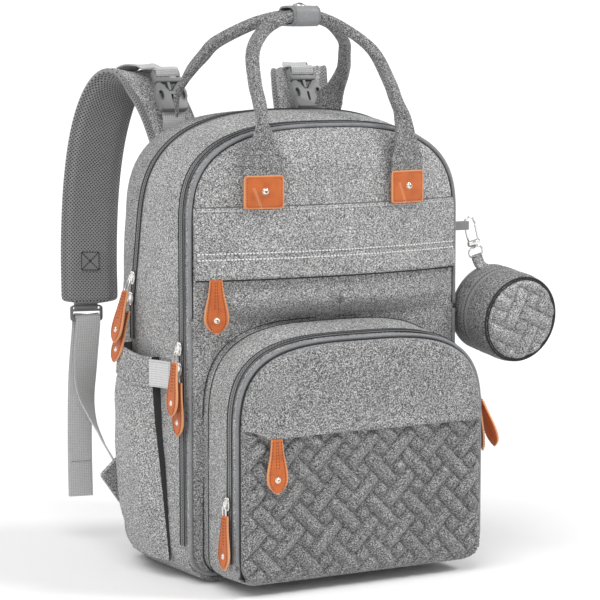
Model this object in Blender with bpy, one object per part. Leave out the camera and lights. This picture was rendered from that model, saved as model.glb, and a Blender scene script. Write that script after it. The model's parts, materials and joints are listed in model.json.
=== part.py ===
"""Backpack-style diaper bag: a stiffened fabric backpack with a clamshell front panel, a zipped front pocket,
a zipped laptop section, two carry handles, padded shoulder straps with side-release buckles and a round
hanging case. Metres, +Z up, the front faces -Y, and the origin is the middle of the main shell's base."""

import math

import bmesh
import bpy
from mathutils import Matrix, Vector

GAP = 0.0004

# Main body
HALF_W = 0.1425
FRONT_TOP = 0.4205
ARCH_START = 0.33
ARCH_POWER = 2.8
BASE_RADIUS = 0.030
RIM_Y = -0.060
WALL = 0.004
BEND_Z = 0.25
REAR_ZIP_Y = 0.046
REAR_ZIP_SLOPE = -0.20
BACK_Y = 0.078
BACK_SLOPE = -0.07
REAR_HALF_W = 0.1465
REAR_TOP = 0.4305
BACK_TOP = 0.4325

# Front panel and its pockets
PANEL_BACK_Y = RIM_Y - GAP
PANEL_Y = -0.067
PANEL_BOTTOM = 0.008
CROWN = 0.020
FOLD_Z = 0.2420
PLACKET_LOW, PLACKET_HIGH = 0.282, 0.347
PLACKET_THICK = 0.0025
POCKET_HALF_W = 0.129
POCKET_TOP = 0.236
POCKET_ARCH_START = 0.14
POCKET_BOTTOM = 0.010
POCKET_RIM_Y = -0.1320
LID_FRONT_Y = -0.1385

# Handles
HANDLE_X = 0.0765
TAB_W, TAB_LOW, TAB_HIGH = 0.040, 0.3475, 0.3765
FRONT_GRIP_Y, REAR_GRIP_Y = -0.0235, -0.0085
GRIP_Z = 0.5205
GRIP_LENGTH = 0.031

# Shoulder straps
PAD_W, PAD_THICK = 0.060, 0.011
WEB_W, WEB_THICK = 0.025, 0.0018

# Hanging case
HOOK = Vector((0.1625, -0.055, 0.3185))
HANG_ANGLE = math.radians(-15)
CASE_NOD = math.radians(7)
CASE_R = 0.0425
CASE_DROP = 0.0850
CASE_BACK, CASE_SEAM, CASE_FACE = -0.003, -0.0265, -0.061

# Zip pulls
PULL_LENGTH, PULL_W, PULL_THICK = 0.050, 0.0215, 0.003

COLOURS = {
    "body_fabric": ((0.42, 0.42, 0.42), 0.95, 0.0),
    "quilted_fabric": ((0.38, 0.38, 0.38), 0.95, 0.0),
    "air_mesh": ((0.25, 0.25, 0.25), 0.9, 0.0),
    "webbing": ((0.38, 0.39, 0.40), 0.8, 0.0),
    "leather": ((0.70, 0.25, 0.07), 0.55, 0.0),
    "zip_tape": ((0.16, 0.16, 0.17), 0.8, 0.0),
    "zip_metal": ((0.75, 0.75, 0.76), 0.25, 1.0),
    "buckle_plastic": ((0.33, 0.34, 0.35), 0.5, 0.0),
    "board": ((0.2, 0.2, 0.2), 0.7, 0.0),
}
HINGE_EMPTIES = {}


def material(slot):
    found = bpy.data.materials.get(slot)
    if found:
        return found
    colour, roughness, metallic = COLOURS[slot]
    made = bpy.data.materials.new(slot)
    made.use_nodes = True
    shader = made.node_tree.nodes["Principled BSDF"]
    shader.inputs["Base Color"].default_value = (*colour, 1)
    shader.inputs["Roughness"].default_value = roughness
    shader.inputs["Metallic"].default_value = metallic
    return made


def add_object(name, bm, slot, pivot=(0, 0, 0)):
    """Makes the object of a closed bmesh drawn in the bag's frame, with its origin on pivot."""
    bm.normal_update()
    bmesh.ops.recalc_face_normals(bm, faces=bm.faces[:])
    mesh = bpy.data.meshes.new(name)
    bm.transform(Matrix.Translation(-Vector(pivot)))
    bm.to_mesh(mesh)
    bm.free()
    mesh.shade_smooth()
    mesh.set_sharp_from_angle(angle=math.radians(40))
    mesh.materials.append(material(slot))
    obj = bpy.data.objects.new(name, mesh)
    obj.location = pivot
    bpy.context.scene.collection.objects.link(obj)
    return obj


def loft(rings, ring_closed=True, ends="caps"):
    """A bmesh through rings of equally many points. ends is caps, or loop to join the last ring to the first."""
    bm = bmesh.new()
    made = [[bm.verts.new(p) for p in ring] for ring in rings]
    pairs = list(zip(made, made[1:])) + ([(made[-1], made[0])] if ends == "loop" else [])
    count = len(made[0])
    for low, high in pairs:
        for i in range(count if ring_closed else count - 1):
            j = (i + 1) % count
            bm.faces.new((low[i], low[j], high[j], high[i]))
    if ends == "caps":
        bm.faces.new(made[0])
        bm.faces.new(made[-1])
    return bm


def arch(half_w, top, arch_start, bottom, radius, inset=0.0, side_z=(BEND_Z,), steps=16):
    """(x, z) points of a flat-bottomed outline with round lower corners and a superelliptic top, from the
    bottom left round to the left side. inset moves it inwards."""
    w, h, low, r = half_w - inset, top - inset, bottom + inset, max(radius - inset, 0.004)
    right = [(w - r + r * math.sin(a), low + r - r * math.cos(a)) for a in (0, 0.52, 1.05, math.pi / 2)]
    right += [(w, z) for z in side_z if low + r < z < arch_start]
    for k in range(steps // 2 + 1):
        angle = math.pi / 2 * k / (steps // 2)
        x = w * math.cos(angle) ** (2 / ARCH_POWER)
        z = arch_start + (h - arch_start) * math.sin(angle) ** (2 / ARCH_POWER)
        right.append((max(x, 0.0), z))
    left = [(-x, z) for x, z in reversed(right[:-1])]
    return right + left


def at_y(outline, y):
    """Lifts (x, z) points to 3-D, where y is a number or a function of z."""
    return [Vector((x, y(z) if callable(y) else y, z)) for x, z in outline]


def rear_zip_y(z):
    return REAR_ZIP_Y + REAR_ZIP_SLOPE * max(z - BEND_Z, 0)


def back_y(z):
    return BACK_Y + BACK_SLOPE * max(z - BEND_Z, 0)


def body_outline(half_w, top, inset=0.0, bottom=0.0):
    return arch(half_w, top, ARCH_START, bottom, BASE_RADIUS, inset)


def pocket_outline(inset=0.0, top=POCKET_TOP):
    return arch(POCKET_HALF_W, top, POCKET_ARCH_START, POCKET_BOTTOM, 0.018, inset, side_z=(0.09,))


def shifted(function, amount):
    return lambda z: function(z) + amount


def sweep(path, width_dirs, sizes, sides=8):
    """A bmesh of a rounded strip along path. sizes holds (width, thickness) and width_dirs the way its width
    runs, one for each point of path or one for all."""
    path = [Vector(p) for p in path]
    count = len(path)
    rings = []
    for i, point in enumerate(path):
        tangent = (path[min(i + 1, count - 1)] - path[max(i - 1, 0)]).normalized()
        wide = Vector(width_dirs[i] if isinstance(width_dirs, list) else width_dirs)
        wide = (wide - tangent * wide.dot(tangent)).normalized()
        thick = tangent.cross(wide)
        width, depth = sizes[i] if isinstance(sizes, list) else sizes
        ring = []
        for k in range(sides):
            angle = 2 * math.pi * (k + 0.5) / sides
            squash = 0.45 if width > 1.6 * depth else 1.0
            cos, sin = math.cos(angle), math.sin(angle)
            u = math.copysign(abs(cos) ** squash, cos) * width / 2
            v = math.copysign(abs(sin) ** squash, sin) * depth / 2
            ring.append(point + wide * u + thick * v)
        rings.append(ring)
    return loft(rings)


def spline(points, per_span):
    """Points on a Catmull-Rom curve through the given ones."""
    points = [Vector(p) for p in points]
    ends = [2 * points[0] - points[1], *points, 2 * points[-1] - points[-2]]
    made = []
    for a, b, c, d in zip(ends, ends[1:], ends[2:], ends[3:]):
        for k in range(per_span):
            t = k / per_span
            made.append(
                0.5 * (2 * b + (c - a) * t + (2 * a - 5 * b + 4 * c - d) * t**2 + (3 * b - a - 3 * c + d) * t**3)
            )
    return [*made, points[-1]]


def box(low, high, bevel=0.0):
    bm = bmesh.new()
    bmesh.ops.create_cube(bm, size=1)
    low, high = Vector(low), Vector(high)
    size = high - low
    bmesh.ops.scale(bm, vec=size, verts=bm.verts)
    bmesh.ops.translate(bm, vec=(low + high) / 2, verts=bm.verts)
    if bevel:
        bmesh.ops.bevel(bm, geom=bm.edges[:], offset=bevel, segments=1, affect="EDGES", profile=0.5)
    return bm


def slotted_plate(half_w, slot_half_w, thick, levels):
    """Upright plate with one slot; levels holds the heights of its base, slot and top."""
    low, slot_low, slot_high, high = levels
    outer = [(-half_w, low), (half_w, low), (half_w, high), (-half_w, high)]
    inner = [(-slot_half_w, slot_low), (slot_half_w, slot_low), (slot_half_w, slot_high), (-slot_half_w, slot_high)]
    rings = [[Vector((x, y, z)) for x, z in pts] for pts, y in
             ((outer, -thick / 2), (outer, thick / 2), (inner, thick / 2), (inner, -thick / 2))]
    return loft(rings, ends="loop")


def ring_tube(centre, radius_x, radius_z, wire, matrix, segments=18, sides=6):
    """A closed oval of wire in the XZ plane of matrix."""
    rings = []
    for i in range(segments):
        angle = 2 * math.pi * i / segments
        out = Vector((math.cos(angle) * radius_x, 0, math.sin(angle) * radius_z))
        normal = Vector((math.cos(angle) / radius_x, 0, math.sin(angle) / radius_z)).normalized()
        ring = []
        for k in range(sides):
            turn = 2 * math.pi * k / sides
            ring.append(matrix @ (Vector(centre) + out + wire * (normal * math.cos(turn) + Vector((0, math.sin(turn), 0)))))
        rings.append(ring)
    return loft(rings, ends="loop")


def subtract(bm, cutter, name):
    """The bmesh left when cutter is taken from bm, by an exact Boolean."""
    return boolean(bm, cutter, name, "DIFFERENCE")


def boolean(bm, other, name, operation):
    objects = []
    for part, label in ((bm, name + "_a"), (other, name + "_b")):
        part.normal_update()
        bmesh.ops.recalc_face_normals(part, faces=part.faces[:])
        mesh = bpy.data.meshes.new(label)
        part.to_mesh(mesh)
        part.free()
        obj = bpy.data.objects.new(label, mesh)
        bpy.context.scene.collection.objects.link(obj)
        objects.append(obj)
    modifier = objects[0].modifiers.new("cut", "BOOLEAN")
    modifier.operation = operation
    modifier.object = objects[1]
    bpy.context.view_layer.update()
    evaluated = objects[0].evaluated_get(bpy.context.evaluated_depsgraph_get())
    made = bmesh.new()
    made.from_mesh(evaluated.to_mesh())
    evaluated.to_mesh_clear()
    for obj in objects:
        bpy.data.objects.remove(obj)
    return made


# --- Body ------------------------------------------------------------------------------------------------


def main_shell():
    outer = [
        at_y(body_outline(REAR_HALF_W, REAR_TOP), shifted(rear_zip_y, -GAP)),
        at_y(body_outline(0.1462, 0.427), -0.015),
        at_y(body_outline(HALF_W, FRONT_TOP), RIM_Y),
    ]
    inner = [
        at_y(body_outline(HALF_W, FRONT_TOP, WALL), RIM_Y),
        at_y(body_outline(0.1462, 0.427, WALL), -0.015),
        at_y(body_outline(REAR_HALF_W, REAR_TOP, WALL), shifted(rear_zip_y, -GAP - WALL)),
    ]
    add_object("main_shell", loft(outer + inner), "body_fabric")


def base_board():
    """Stiffening board that lies on the floor of the main compartment."""
    add_object("base_board", box((-0.108, RIM_Y + 0.004, 0.0046), (0.108, 0.036, 0.0076), 0.0008), "board")


def laptop_shell():
    """Rear section: a shallow tray, open towards the divider, with the back panel as its floor."""
    outer = [
        at_y(body_outline(0.136, 0.4265, 0, 0.007), back_y),
        at_y(body_outline(0.1415, 0.4315, 0, 0.002), shifted(back_y, -0.004)),
        at_y(body_outline(REAR_HALF_W, REAR_TOP, 0, 0.0012), shifted(rear_zip_y, GAP)),
    ]
    inner = [
        at_y(body_outline(REAR_HALF_W, REAR_TOP, WALL, 0.0012), shifted(rear_zip_y, GAP)),
        at_y(body_outline(0.1415, 0.4315, WALL, 0.002), shifted(back_y, -0.008)),
    ]
    add_object("laptop_shell", loft(outer + inner), "body_fabric", (0, BACK_Y, 0))


def back_pad():
    outline = arch(0.118, 0.338, 0.29, 0.035, 0.02)
    inner = arch(0.118, 0.338, 0.29, 0.035, 0.02, 0.006)
    rings = [
        at_y(outline, shifted(back_y, GAP)),
        at_y(outline, shifted(back_y, 0.004)),
        at_y(inner, shifted(back_y, 0.009)),
    ]
    add_object("back_pad", loft(rings), "air_mesh")


def zip_strip(name, outline, y, low, width=0.008, thick=0.0014):
    """Zip tape and coil along the outline's sides and top, down to height low."""
    points = [(x, z) for x, z in outline if z >= low]
    start = next(i for i, (x, z) in enumerate(points) if x > 0)
    points = points[start:] + points[:start]
    foot = (points[0][0], low)
    points = [foot, *points, (-foot[0], low)]
    path = [p for i, p in enumerate(points) if i == 0 or (Vector(p) - Vector(points[i - 1])).length > 0.001]
    add_object(name, sweep(at_y(path, y), (0, 1, 0), (width, thick), 4), "zip_tape")


def zips():
    zip_strip("main_zip", body_outline(HALF_W + 0.0022, FRONT_TOP + 0.0022), RIM_Y + 0.0045, 0.034)
    zip_strip(
        "laptop_zip", body_outline(REAR_HALF_W + 0.0014, REAR_TOP + 0.0014), shifted(rear_zip_y, -0.0052), 0.216
    )
    zip_strip("pocket_zip", pocket_outline(-0.0013), POCKET_RIM_Y + 0.0115, 0.032)


def side_pocket(name, side):
    """Open-topped bottle pocket; side is -1 on the left and 1 on the right."""

    def ring(z, outer_x, inset=0.0):
        x0, x1 = 0.1470 + inset, outer_x - inset
        y0, y1 = -0.0430 + inset, 0.0480 - inset
        corners = [(x0, y0), (x1 - 0.007, y0), (x1, y0 + 0.015), (x1 + 0.001, y0 + 0.038)]
        corners += [(x1 - 0.003, y1 - 0.026), (x0 + (x1 - x0) * 0.45, y1 - 0.012), (x0, y1)]
        return [Vector((side * x, y, z)) for x, y in corners]

    rings = [
        ring(0.018, 0.1560),
        ring(0.030, 0.1615),
        ring(0.120, 0.1655),
        ring(0.2115, 0.1665),
        ring(0.2115, 0.1665, 0.002),
        ring(0.120, 0.1655, 0.002),
        ring(0.032, 0.1615, 0.002),
    ]
    add_object(name, loft(rings), "body_fabric")


def side_loop():
    """Fabric loop on the right side, its eye upright, that the case's hook hangs in."""
    width, eye, thick = 0.008, 0.0019, 0.0015
    centre = HOOK
    outer, inner = [], []
    tip = 0.0035
    for sign, pts, half in ((1, outer, eye + thick), (1, inner, eye)):
        end = tip + (thick if half > eye else 0)
        pts += [(-0.0164 if half > eye else -0.0135, -half), (end - half, -half)]
        pts += [(end - half + half * math.sin(a), -half * math.cos(a)) for a in (0.8, 1.57, 2.34)]
        pts += [(end - half, half), (-0.0164 if half > eye else -0.0135, half)]
    low, high = centre.z - width / 2, centre.z + width / 2
    rings = [[Vector((centre.x + x, centre.y + y, z)) for x, y in pts] for pts, z in
             ((outer, low), (outer, high), (inner, high), (inner, low))]
    add_object("side_loop", loft(rings, ends="loop"), "webbing")


# --- Front panel -----------------------------------------------------------------------------------------


FLAP_HINGE = (0, PANEL_Y - 0.001, FOLD_Z)


def crown_y(x, z):
    """Depth of the filled flap: a shallow barrel in plan that dies away at its arched top and at the fold."""
    across = 1 - (x / HALF_W) ** 2
    top = ARCH_START + (FRONT_TOP - ARCH_START) * max(1 - abs(x / HALF_W) ** ARCH_POWER, 0) ** (1 / ARCH_POWER)
    fade = min(max(min((top - z) / 0.045, (z - FOLD_Z) / 0.032), 0), 1)
    return PANEL_Y - 0.0012 - CROWN * max(across, 0) * math.sin(fade * math.pi / 2)


def front_panel():
    """Lower part of the front, below the fold, that carries the front pocket."""
    w, low, r = HALF_W, PANEL_BOTTOM, BASE_RADIUS - 0.008
    right = [(w - r + r * math.sin(a), low + r - r * math.cos(a)) for a in (0, 0.52, 1.05, math.pi / 2)]
    right.append((w, FOLD_Z - GAP))
    outline = right + [(-x, z) for x, z in reversed(right)]
    rings = [at_y(outline, PANEL_BACK_Y), at_y(outline, PANEL_Y)]
    add_object("front_panel", loft(rings), "body_fabric")


def front_flap():
    """Upper part of the front, which folds forward over the pocket when the main zip is open."""
    outline = arch(HALF_W, FRONT_TOP, ARCH_START, FOLD_Z + GAP, 0.004, side_z=(0.256, 0.27, 0.29, 0.31))
    rings = [at_y(outline, PANEL_BACK_Y)]
    for k in (1, 0.965, 0.9, 0.8, 0.65, 0.45, 0.2):
        ring = [(x * k, 0.325 + (z - 0.325) * k) for x, z in outline]
        rings.append([Vector((x, crown_y(x, z), z)) for x, z in ring])
    add_object("front_flap", loft(rings), "body_fabric", FLAP_HINGE)


def placket():
    """Band with a free lower edge that covers the upper pocket's zip."""
    count = 14
    rings = []
    for z, out in ((PLACKET_HIGH, 0.0), (PLACKET_LOW, 0.0), (PLACKET_LOW, PLACKET_THICK), (PLACKET_HIGH, PLACKET_THICK)):
        ring = []
        for i in range(count + 1):
            x = HALF_W * 0.985 * (2 * i / count - 1)
            ring.append(Vector((x, PANEL_Y - 0.0012 - CROWN * (1 - (x / HALF_W) ** 2) - 0.0024 - out, z)))
        rings.append(ring)
    bm = loft(rings, ring_closed=False, ends="loop")
    for side in (0, -1):
        corner = [v for v in bm.verts if abs(v.co.x - rings[0][side].x) < 1e-6]
        corner.sort(key=lambda v: math.atan2(v.co.z - 0.3145, v.co.y + 0.0725))
        bm.faces.new(corner)
    add_object("placket", bm, "body_fabric", FLAP_HINGE)


def pocket_gusset():
    """Side wall of the front pocket, open towards the panel behind it and the lid in front."""
    top = POCKET_TOP
    rings = [
        at_y(pocket_outline(0.001, top + 0.004), PANEL_Y - GAP),
        at_y(pocket_outline(0, top - 0.002), -0.10),
        at_y(pocket_outline(0, top - 0.007), POCKET_RIM_Y),
        at_y(pocket_outline(0.003, top - 0.007), POCKET_RIM_Y),
        at_y(pocket_outline(0.003, top - 0.002), -0.10),
        at_y(pocket_outline(0.004, top + 0.004), PANEL_Y - GAP),
    ]
    add_object("pocket_gusset", loft(rings, ends="loop"), "body_fabric")


LID_HINGE = (0, POCKET_RIM_Y - GAP, POCKET_BOTTOM + 0.001)


def pocket_lid():
    top = POCKET_TOP - 0.007
    rings = [
        at_y(pocket_outline(0.001, top), POCKET_RIM_Y - GAP),
        at_y(pocket_outline(0.001, top), LID_FRONT_Y + 0.0025),
        at_y(pocket_outline(0.005, top), LID_FRONT_Y),
    ]
    add_object("pocket_lid", loft(rings), "quilted_fabric", LID_HINGE)


def handle_tabs():
    """Leather squares, each sewn and riveted over a front handle's webbing end."""
    y0 = crown_y(HANDLE_X, 0.36)
    for name, x in (("handle_tab_left", -HANDLE_X), ("handle_tab_right", HANDLE_X)):
        tab = box((x - TAB_W / 2, y0 - 0.0075, TAB_LOW), (x + TAB_W / 2, y0 - 0.0032, TAB_HIGH), 0.0012)
        add_object(name, tab, "leather", FLAP_HINGE)


# --- Handles ---------------------------------------------------------------------------------------------


def arch_handle(name, leg, slot, pivot):
    """Handle of webbing rolled into a tube. leg holds (x, y, z, width, thickness) from the left foot up to the
    middle of the grip, and is mirrored."""
    right = [(-x, y, z, w, t) for x, y, z, w, t in reversed(leg[:-1])]
    stations = leg + right
    points = spline([s[:3] for s in stations], 2)
    sizes = spline([(s[3], s[4], 0) for s in stations], 2)
    add_object(name, sweep(points, (0.0001, 1, 0.3), [(s.y, s.x) for s in sizes], 8), slot, pivot)


FRONT_HANDLE_HINGE = (0, -0.0860, 0.3790)
REAR_HANDLE_HINGE = (0, 0.0740, 0.4360)


def handles():
    front = [
        (-HANDLE_X, -0.0860, 0.3785, 0.034, 0.003),
        (-HANDLE_X, -0.0865, 0.3980, 0.030, 0.004),
        (-0.0745, -0.0820, 0.4250, 0.016, 0.010),
        (-0.0725, -0.0630, 0.4600, 0.014, 0.012),
        (-0.0640, -0.0440, 0.4880, 0.014, 0.012),
        (-0.0430, -0.0290, 0.5080, 0.014, 0.012),
        (-0.0190, FRONT_GRIP_Y, 0.5190, 0.014, 0.012),
        (0.0, FRONT_GRIP_Y, GRIP_Z, 0.014, 0.012),
    ]
    rear = [
        (-0.0830, 0.0740, 0.4355, 0.026, 0.004),
        (-0.0850, 0.0640, 0.4480, 0.018, 0.008),
        (-0.0840, 0.0440, 0.4680, 0.014, 0.012),
        (-0.0690, 0.0180, 0.4960, 0.014, 0.012),
        (-0.0430, -0.0010, 0.5120, 0.014, 0.012),
        (-0.0190, REAR_GRIP_Y, 0.5190, 0.014, 0.012),
        (0.0, REAR_GRIP_Y, GRIP_Z, 0.014, 0.012),
    ]
    arch_handle("front_handle", front, "webbing", FRONT_HANDLE_HINGE)
    arch_handle("rear_handle", rear, "webbing", REAR_HANDLE_HINGE)


def grip_halves():
    """The snap wrap, as the two halves that stay with each handle when the snap is open."""
    middle = (FRONT_GRIP_Y + REAR_GRIP_Y) / 2
    half_y, half_z, thick = 0.0170, 0.0115, 0.0020
    for name, sign, pivot in (("grip_front", -1, FRONT_HANDLE_HINGE), ("grip_rear", 1, REAR_HANDLE_HINGE)):
        outer, inner = [], []
        for k in range(9):
            angle = math.pi * k / 8
            away, up = math.sin(angle) ** 0.6, math.copysign(abs(math.cos(angle)) ** 0.6, math.cos(angle))
            outer.append((sign * (GAP + half_y * away), half_z * up))
            inner.append((sign * (GAP + (half_y - thick) * away), (half_z - thick) * up))
        section = outer + inner[::-1]
        rings = [[Vector((x, middle + y, GRIP_Z - 0.0005 + z)) for y, z in section]
                 for x in (-GRIP_LENGTH / 2, GRIP_LENGTH / 2)]
        add_object(name, loft(rings), "webbing", pivot)


# --- Shoulder straps -------------------------------------------------------------------------------------

STRAP_RISE = [
    (-0.0700, 0.0785, 0.350),
    (-0.0705, 0.0965, 0.392),
    (-0.0760, 0.1190, 0.432),
    (-0.0850, 0.1380, 0.4545),
]
STRAP_BEND = (-0.0970, 0.1540, 0.4590)
STRAP_HANG = [
    (-0.1085, 0.1655, 0.4450),
    (-0.1190, 0.1730, 0.4100),
    (-0.1270, 0.1750, 0.3600),
    (-0.1325, 0.1715, 0.3000),
    (-0.1370, 0.1650, 0.2360),
]
LOCK_Y = 0.1650
BUCKLE_AXIS = Vector((0.0, 0.490, 0.872))


def mirrored(points, side):
    """Points of the left strap, mirrored when side is 1."""
    return [Vector((-side * p[0] if side > 0 else p[0], p[1], p[2])) for p in points]


def strap(label, side):
    curve = spline([*STRAP_RISE, STRAP_BEND, *STRAP_HANG], 4)
    split = 4 * len(STRAP_RISE)
    rise, hang = curve[: split + 1], curve[split:]
    twist = [Vector((1, -0.25 * min(i / 12, 1), 0)) for i in range(len(hang))]
    flip = Matrix.Scale(-1, 4, (1, 0, 0)) if side > 0 else Matrix.Identity(4)
    hinge = flip @ Vector(STRAP_BEND)

    def add(name, bm, slot, pivot=(0, 0, 0)):
        bm.transform(flip)
        add_object(f"{name}_{label}", bm, slot, pivot)

    top = sweep(rise, (1, 0, 0), (PAD_W, PAD_THICK))
    add("strap_top", top, "air_mesh")
    start = hang[0] + (hang[1] - hang[0]).normalized() * 0.0035
    hang = [start, *hang[1:]]
    taper = [(PAD_W, PAD_THICK)] * (len(hang) - 3) + [(PAD_W * 0.99, PAD_THICK), (PAD_W * 0.86, 0.009), (PAD_W * 0.5, 0.006)]
    add("strap_pad", sweep(hang, twist, taper), "air_mesh", hinge)

    # Ladder lock at the pad's end: a frame whose lower bar the webbing turns over
    lock = slotted_plate(0.0160, 0.0134, 0.0040, (0.0, 0.0040, 0.0100, 0.0140))
    lock.transform(Matrix.Translation((-0.1390, LOCK_Y, 0.2200)) @ Matrix.Rotation(-math.atan(0.25), 4, "Z"))
    add("ladder_lock", lock, "buckle_plastic", hinge)

    # One webbing: from the anchor up to the lock and down again as a free tail
    route = [
        (-0.1400, 0.1010, 0.0960),
        (-0.1270, 0.1180, 0.1150),
        (-0.1240, 0.1350, 0.1450),
        (-0.1330, 0.1520, 0.1800),
        (-0.1385, LOCK_Y - 0.0055, 0.2100),
        (-0.1390, LOCK_Y - 0.0046, 0.2225),
        (-0.1390, LOCK_Y, 0.2265),
        (-0.1390, LOCK_Y + 0.0046, 0.2225),
        (-0.1395, LOCK_Y + 0.0055, 0.2100),
        (-0.1450, LOCK_Y + 0.0050, 0.1400),
        (-0.1460, LOCK_Y + 0.0020, 0.0460),
    ]
    add("strap_webbing", sweep(spline(route, 2), (1, -0.25, 0), (WEB_W, WEB_THICK), 4), "webbing", hinge)

    # Triangular fabric anchor in the lower rear seam
    wedge = [(-0.1290, 0.030), (-0.1290, 0.112), (-0.1500, 0.1040), (-0.1640, 0.0800), (-0.1500, 0.0400)]
    rings = [[Vector((x, y, z)) for x, z in wedge] for y in (BACK_Y + 0.0008, BACK_Y + 0.0050)]
    add("strap_anchor", loft(rings), "body_fabric", (0, BACK_Y, 0))

    # Side-release buckle on the pad's front face: socket below, plug above
    across = Vector((1, 0, 0))
    axis = BUCKLE_AXIS.normalized()
    out = across.cross(axis)
    if out.y > 0:
        out = -out
    base = Vector((-0.0735, 0.1030, 0.4180)) + out * 0.0085

    def buckle_box(x_half, low, high, bottom, top, bevel):
        frame = Matrix((across, out, axis)).transposed().to_4x4()
        frame.translation = base
        made = box((-x_half, bottom, low), (x_half, top, high), bevel)
        made.transform(frame)
        return made

    add("buckle_socket", buckle_box(0.0150, 0.0, 0.0300, 0.0, 0.0075, 0.002), "buckle_plastic")
    plug_pivot = flip @ (base + axis * 0.031)
    add("buckle_plug", buckle_box(0.0140, 0.0304, 0.0440, 0.0008, 0.0068, 0.0015), "buckle_plastic", plug_pivot)
    tail_start = base + axis * 0.0446 + out * 0.0040
    tail = [
        tail_start,
        tail_start + axis * 0.006 + out * 0.001,
        tail_start + axis * 0.014 + out * 0.002,
        tail_start + axis * 0.020 + Vector((-0.0030, 0.0050, -0.0020)) + out * 0.002,
        tail_start + axis * 0.022 + Vector((-0.0080, 0.0140, -0.0040)) + out * 0.003,
    ]
    add("plug_webbing", sweep(spline(tail, 2), (1, 0, 0), (WEB_W, 0.003), 4), "webbing", plug_pivot)


# --- Zip sliders and leather pulls -----------------------------------------------------------------------


def slider(name, position, outward, along=(0, 0, 1)):
    """Metal slider: a wedge-nosed body on the coil with a bail. outward is the way it stands off the cloth."""
    out, up = Vector(outward).normalized(), Vector(along).normalized()
    side = up.cross(out)
    frame = Matrix((side, out, up)).transposed().to_4x4()
    frame.translation = Vector(position)
    stations = ((-0.0060, 0.0038), (0.0010, 0.0050), (0.0060, 0.0030))
    rings = [[Vector((x, y, z)) for x, y in ((-w, 0), (w, 0), (w, 0.0022), (w * 0.5, 0.0036), (-w * 0.5, 0.0036), (-w, 0.0022))]
             for z, w in stations]
    bm = loft(rings)
    bm.transform(frame)
    add_object(name, bm, "zip_metal", position)


LEAF = ((0.0, 0.24), (0.10, 0.26), (0.30, 0.34), (0.55, 0.46), (0.70, 0.50), (0.80, 0.47), (0.90, 0.30), (1.0, 0.04))


def pull(name, top, outward, tilt_deg, length=PULL_LENGTH, thick=PULL_THICK):
    """Leather leaf that hangs from top, tilted away from the cloth. Its origin is on its hinge."""
    out = Vector(outward).normalized()
    side = Vector((0, 0, 1)).cross(out)
    outline = [(s * length, w * PULL_W) for s, w in LEAF]
    points = [(w, -s) for s, w in outline] + [(-w, -s) for s, w in reversed(outline)]
    rings = [[side * x + out * y + Vector((0, 0, z)) for x, z in points] for y in (-thick / 2, thick / 2)]
    bm = loft(rings)
    bm.transform(Matrix.Rotation(math.radians(tilt_deg), 4, -side))
    bm.transform(Matrix.Translation(Vector(top)))
    add_object(name, bm, "leather", top)


MAIN_TRACK = Vector((-(HALF_W + 0.0036), RIM_Y + 0.0045, 0))
LAPTOP_TRACK_X = -(REAR_HALF_W + 0.0026)
POCKET_TRACK = Vector((POCKET_HALF_W + 0.0025, POCKET_RIM_Y + 0.0115, 0))


def side_sliders():
    left = (-1, 0, 0)
    for label, z in (("upper", 0.2190), ("lower", 0.2000)):
        slider(f"main_slider_{label}", (MAIN_TRACK.x, MAIN_TRACK.y, z), left)
    pull("main_pull_upper", (MAIN_TRACK.x - 0.0105, MAIN_TRACK.y, 0.2070), left, 7)
    pull("main_pull_lower", (MAIN_TRACK.x - 0.0060, MAIN_TRACK.y, 0.1885), left, 3)
    climb = (0, REAR_ZIP_SLOPE, 1)
    for label, z in (("upper", 0.2760), ("lower", 0.2560)):
        slider(f"laptop_slider_{label}", (LAPTOP_TRACK_X, rear_zip_y(z) - 0.0052, z), left, climb)
    pull("laptop_pull_upper", (LAPTOP_TRACK_X - 0.0100, rear_zip_y(0.264) - 0.0052, 0.2640), left, 22)
    pull("laptop_pull_lower", (LAPTOP_TRACK_X - 0.0060, rear_zip_y(0.2445) - 0.0052, 0.2445), left, 22)


def front_sliders():
    for label, side, z, tilt in (("left", -1, 0.0850, 3), ("right", 1, 0.1700, 16)):
        x = side * POCKET_TRACK.x
        slider(f"pocket_slider_{label}", (x, POCKET_TRACK.y, z), (side, 0, 0))
        pull(f"pocket_pull_{label}", (x + side * 0.0062, POCKET_TRACK.y, z - 0.0105), (side, 0, 0), tilt)

    # Sliders of the two slit pockets, on the curved flap behind the placket and on the flat lid
    x = 0.1205
    y = crown_y(x, 0.30)
    across = Vector((-2 * CROWN * x / HALF_W**2, -1, 0)).normalized()
    along = Vector((0, 0, 1)).cross(across)
    plate = box((-0.0045, GAP, 0.0), (0.0045, 0.0018, 0.0085))
    plate.transform(Matrix((along, across, Vector((0, 0, 1)))).transposed().to_4x4())
    plate.transform(Matrix.Translation((-x, y, PLACKET_LOW + 0.0005)))
    add_object("upper_slider", plate, "zip_metal", (-x, y, PLACKET_LOW))
    pull("upper_pull", (-x, y - 0.0032, PLACKET_LOW - 0.0024), across, 3, 0.047, 0.0026)
    plate = box((-0.1015, LID_FRONT_Y - 0.0020, 0.1475), (-0.0925, LID_FRONT_Y - GAP, 0.1560), 0.0003)
    add_object("lid_slider", plate, "zip_metal", (-0.0970, LID_FRONT_Y, 0.1475))
    pull("lid_pull", (-0.0970, LID_FRONT_Y - 0.0040, 0.1465), (0, -1, 0), 1.5, 0.048)


# --- Hanging case ----------------------------------------------------------------------------------------


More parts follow.
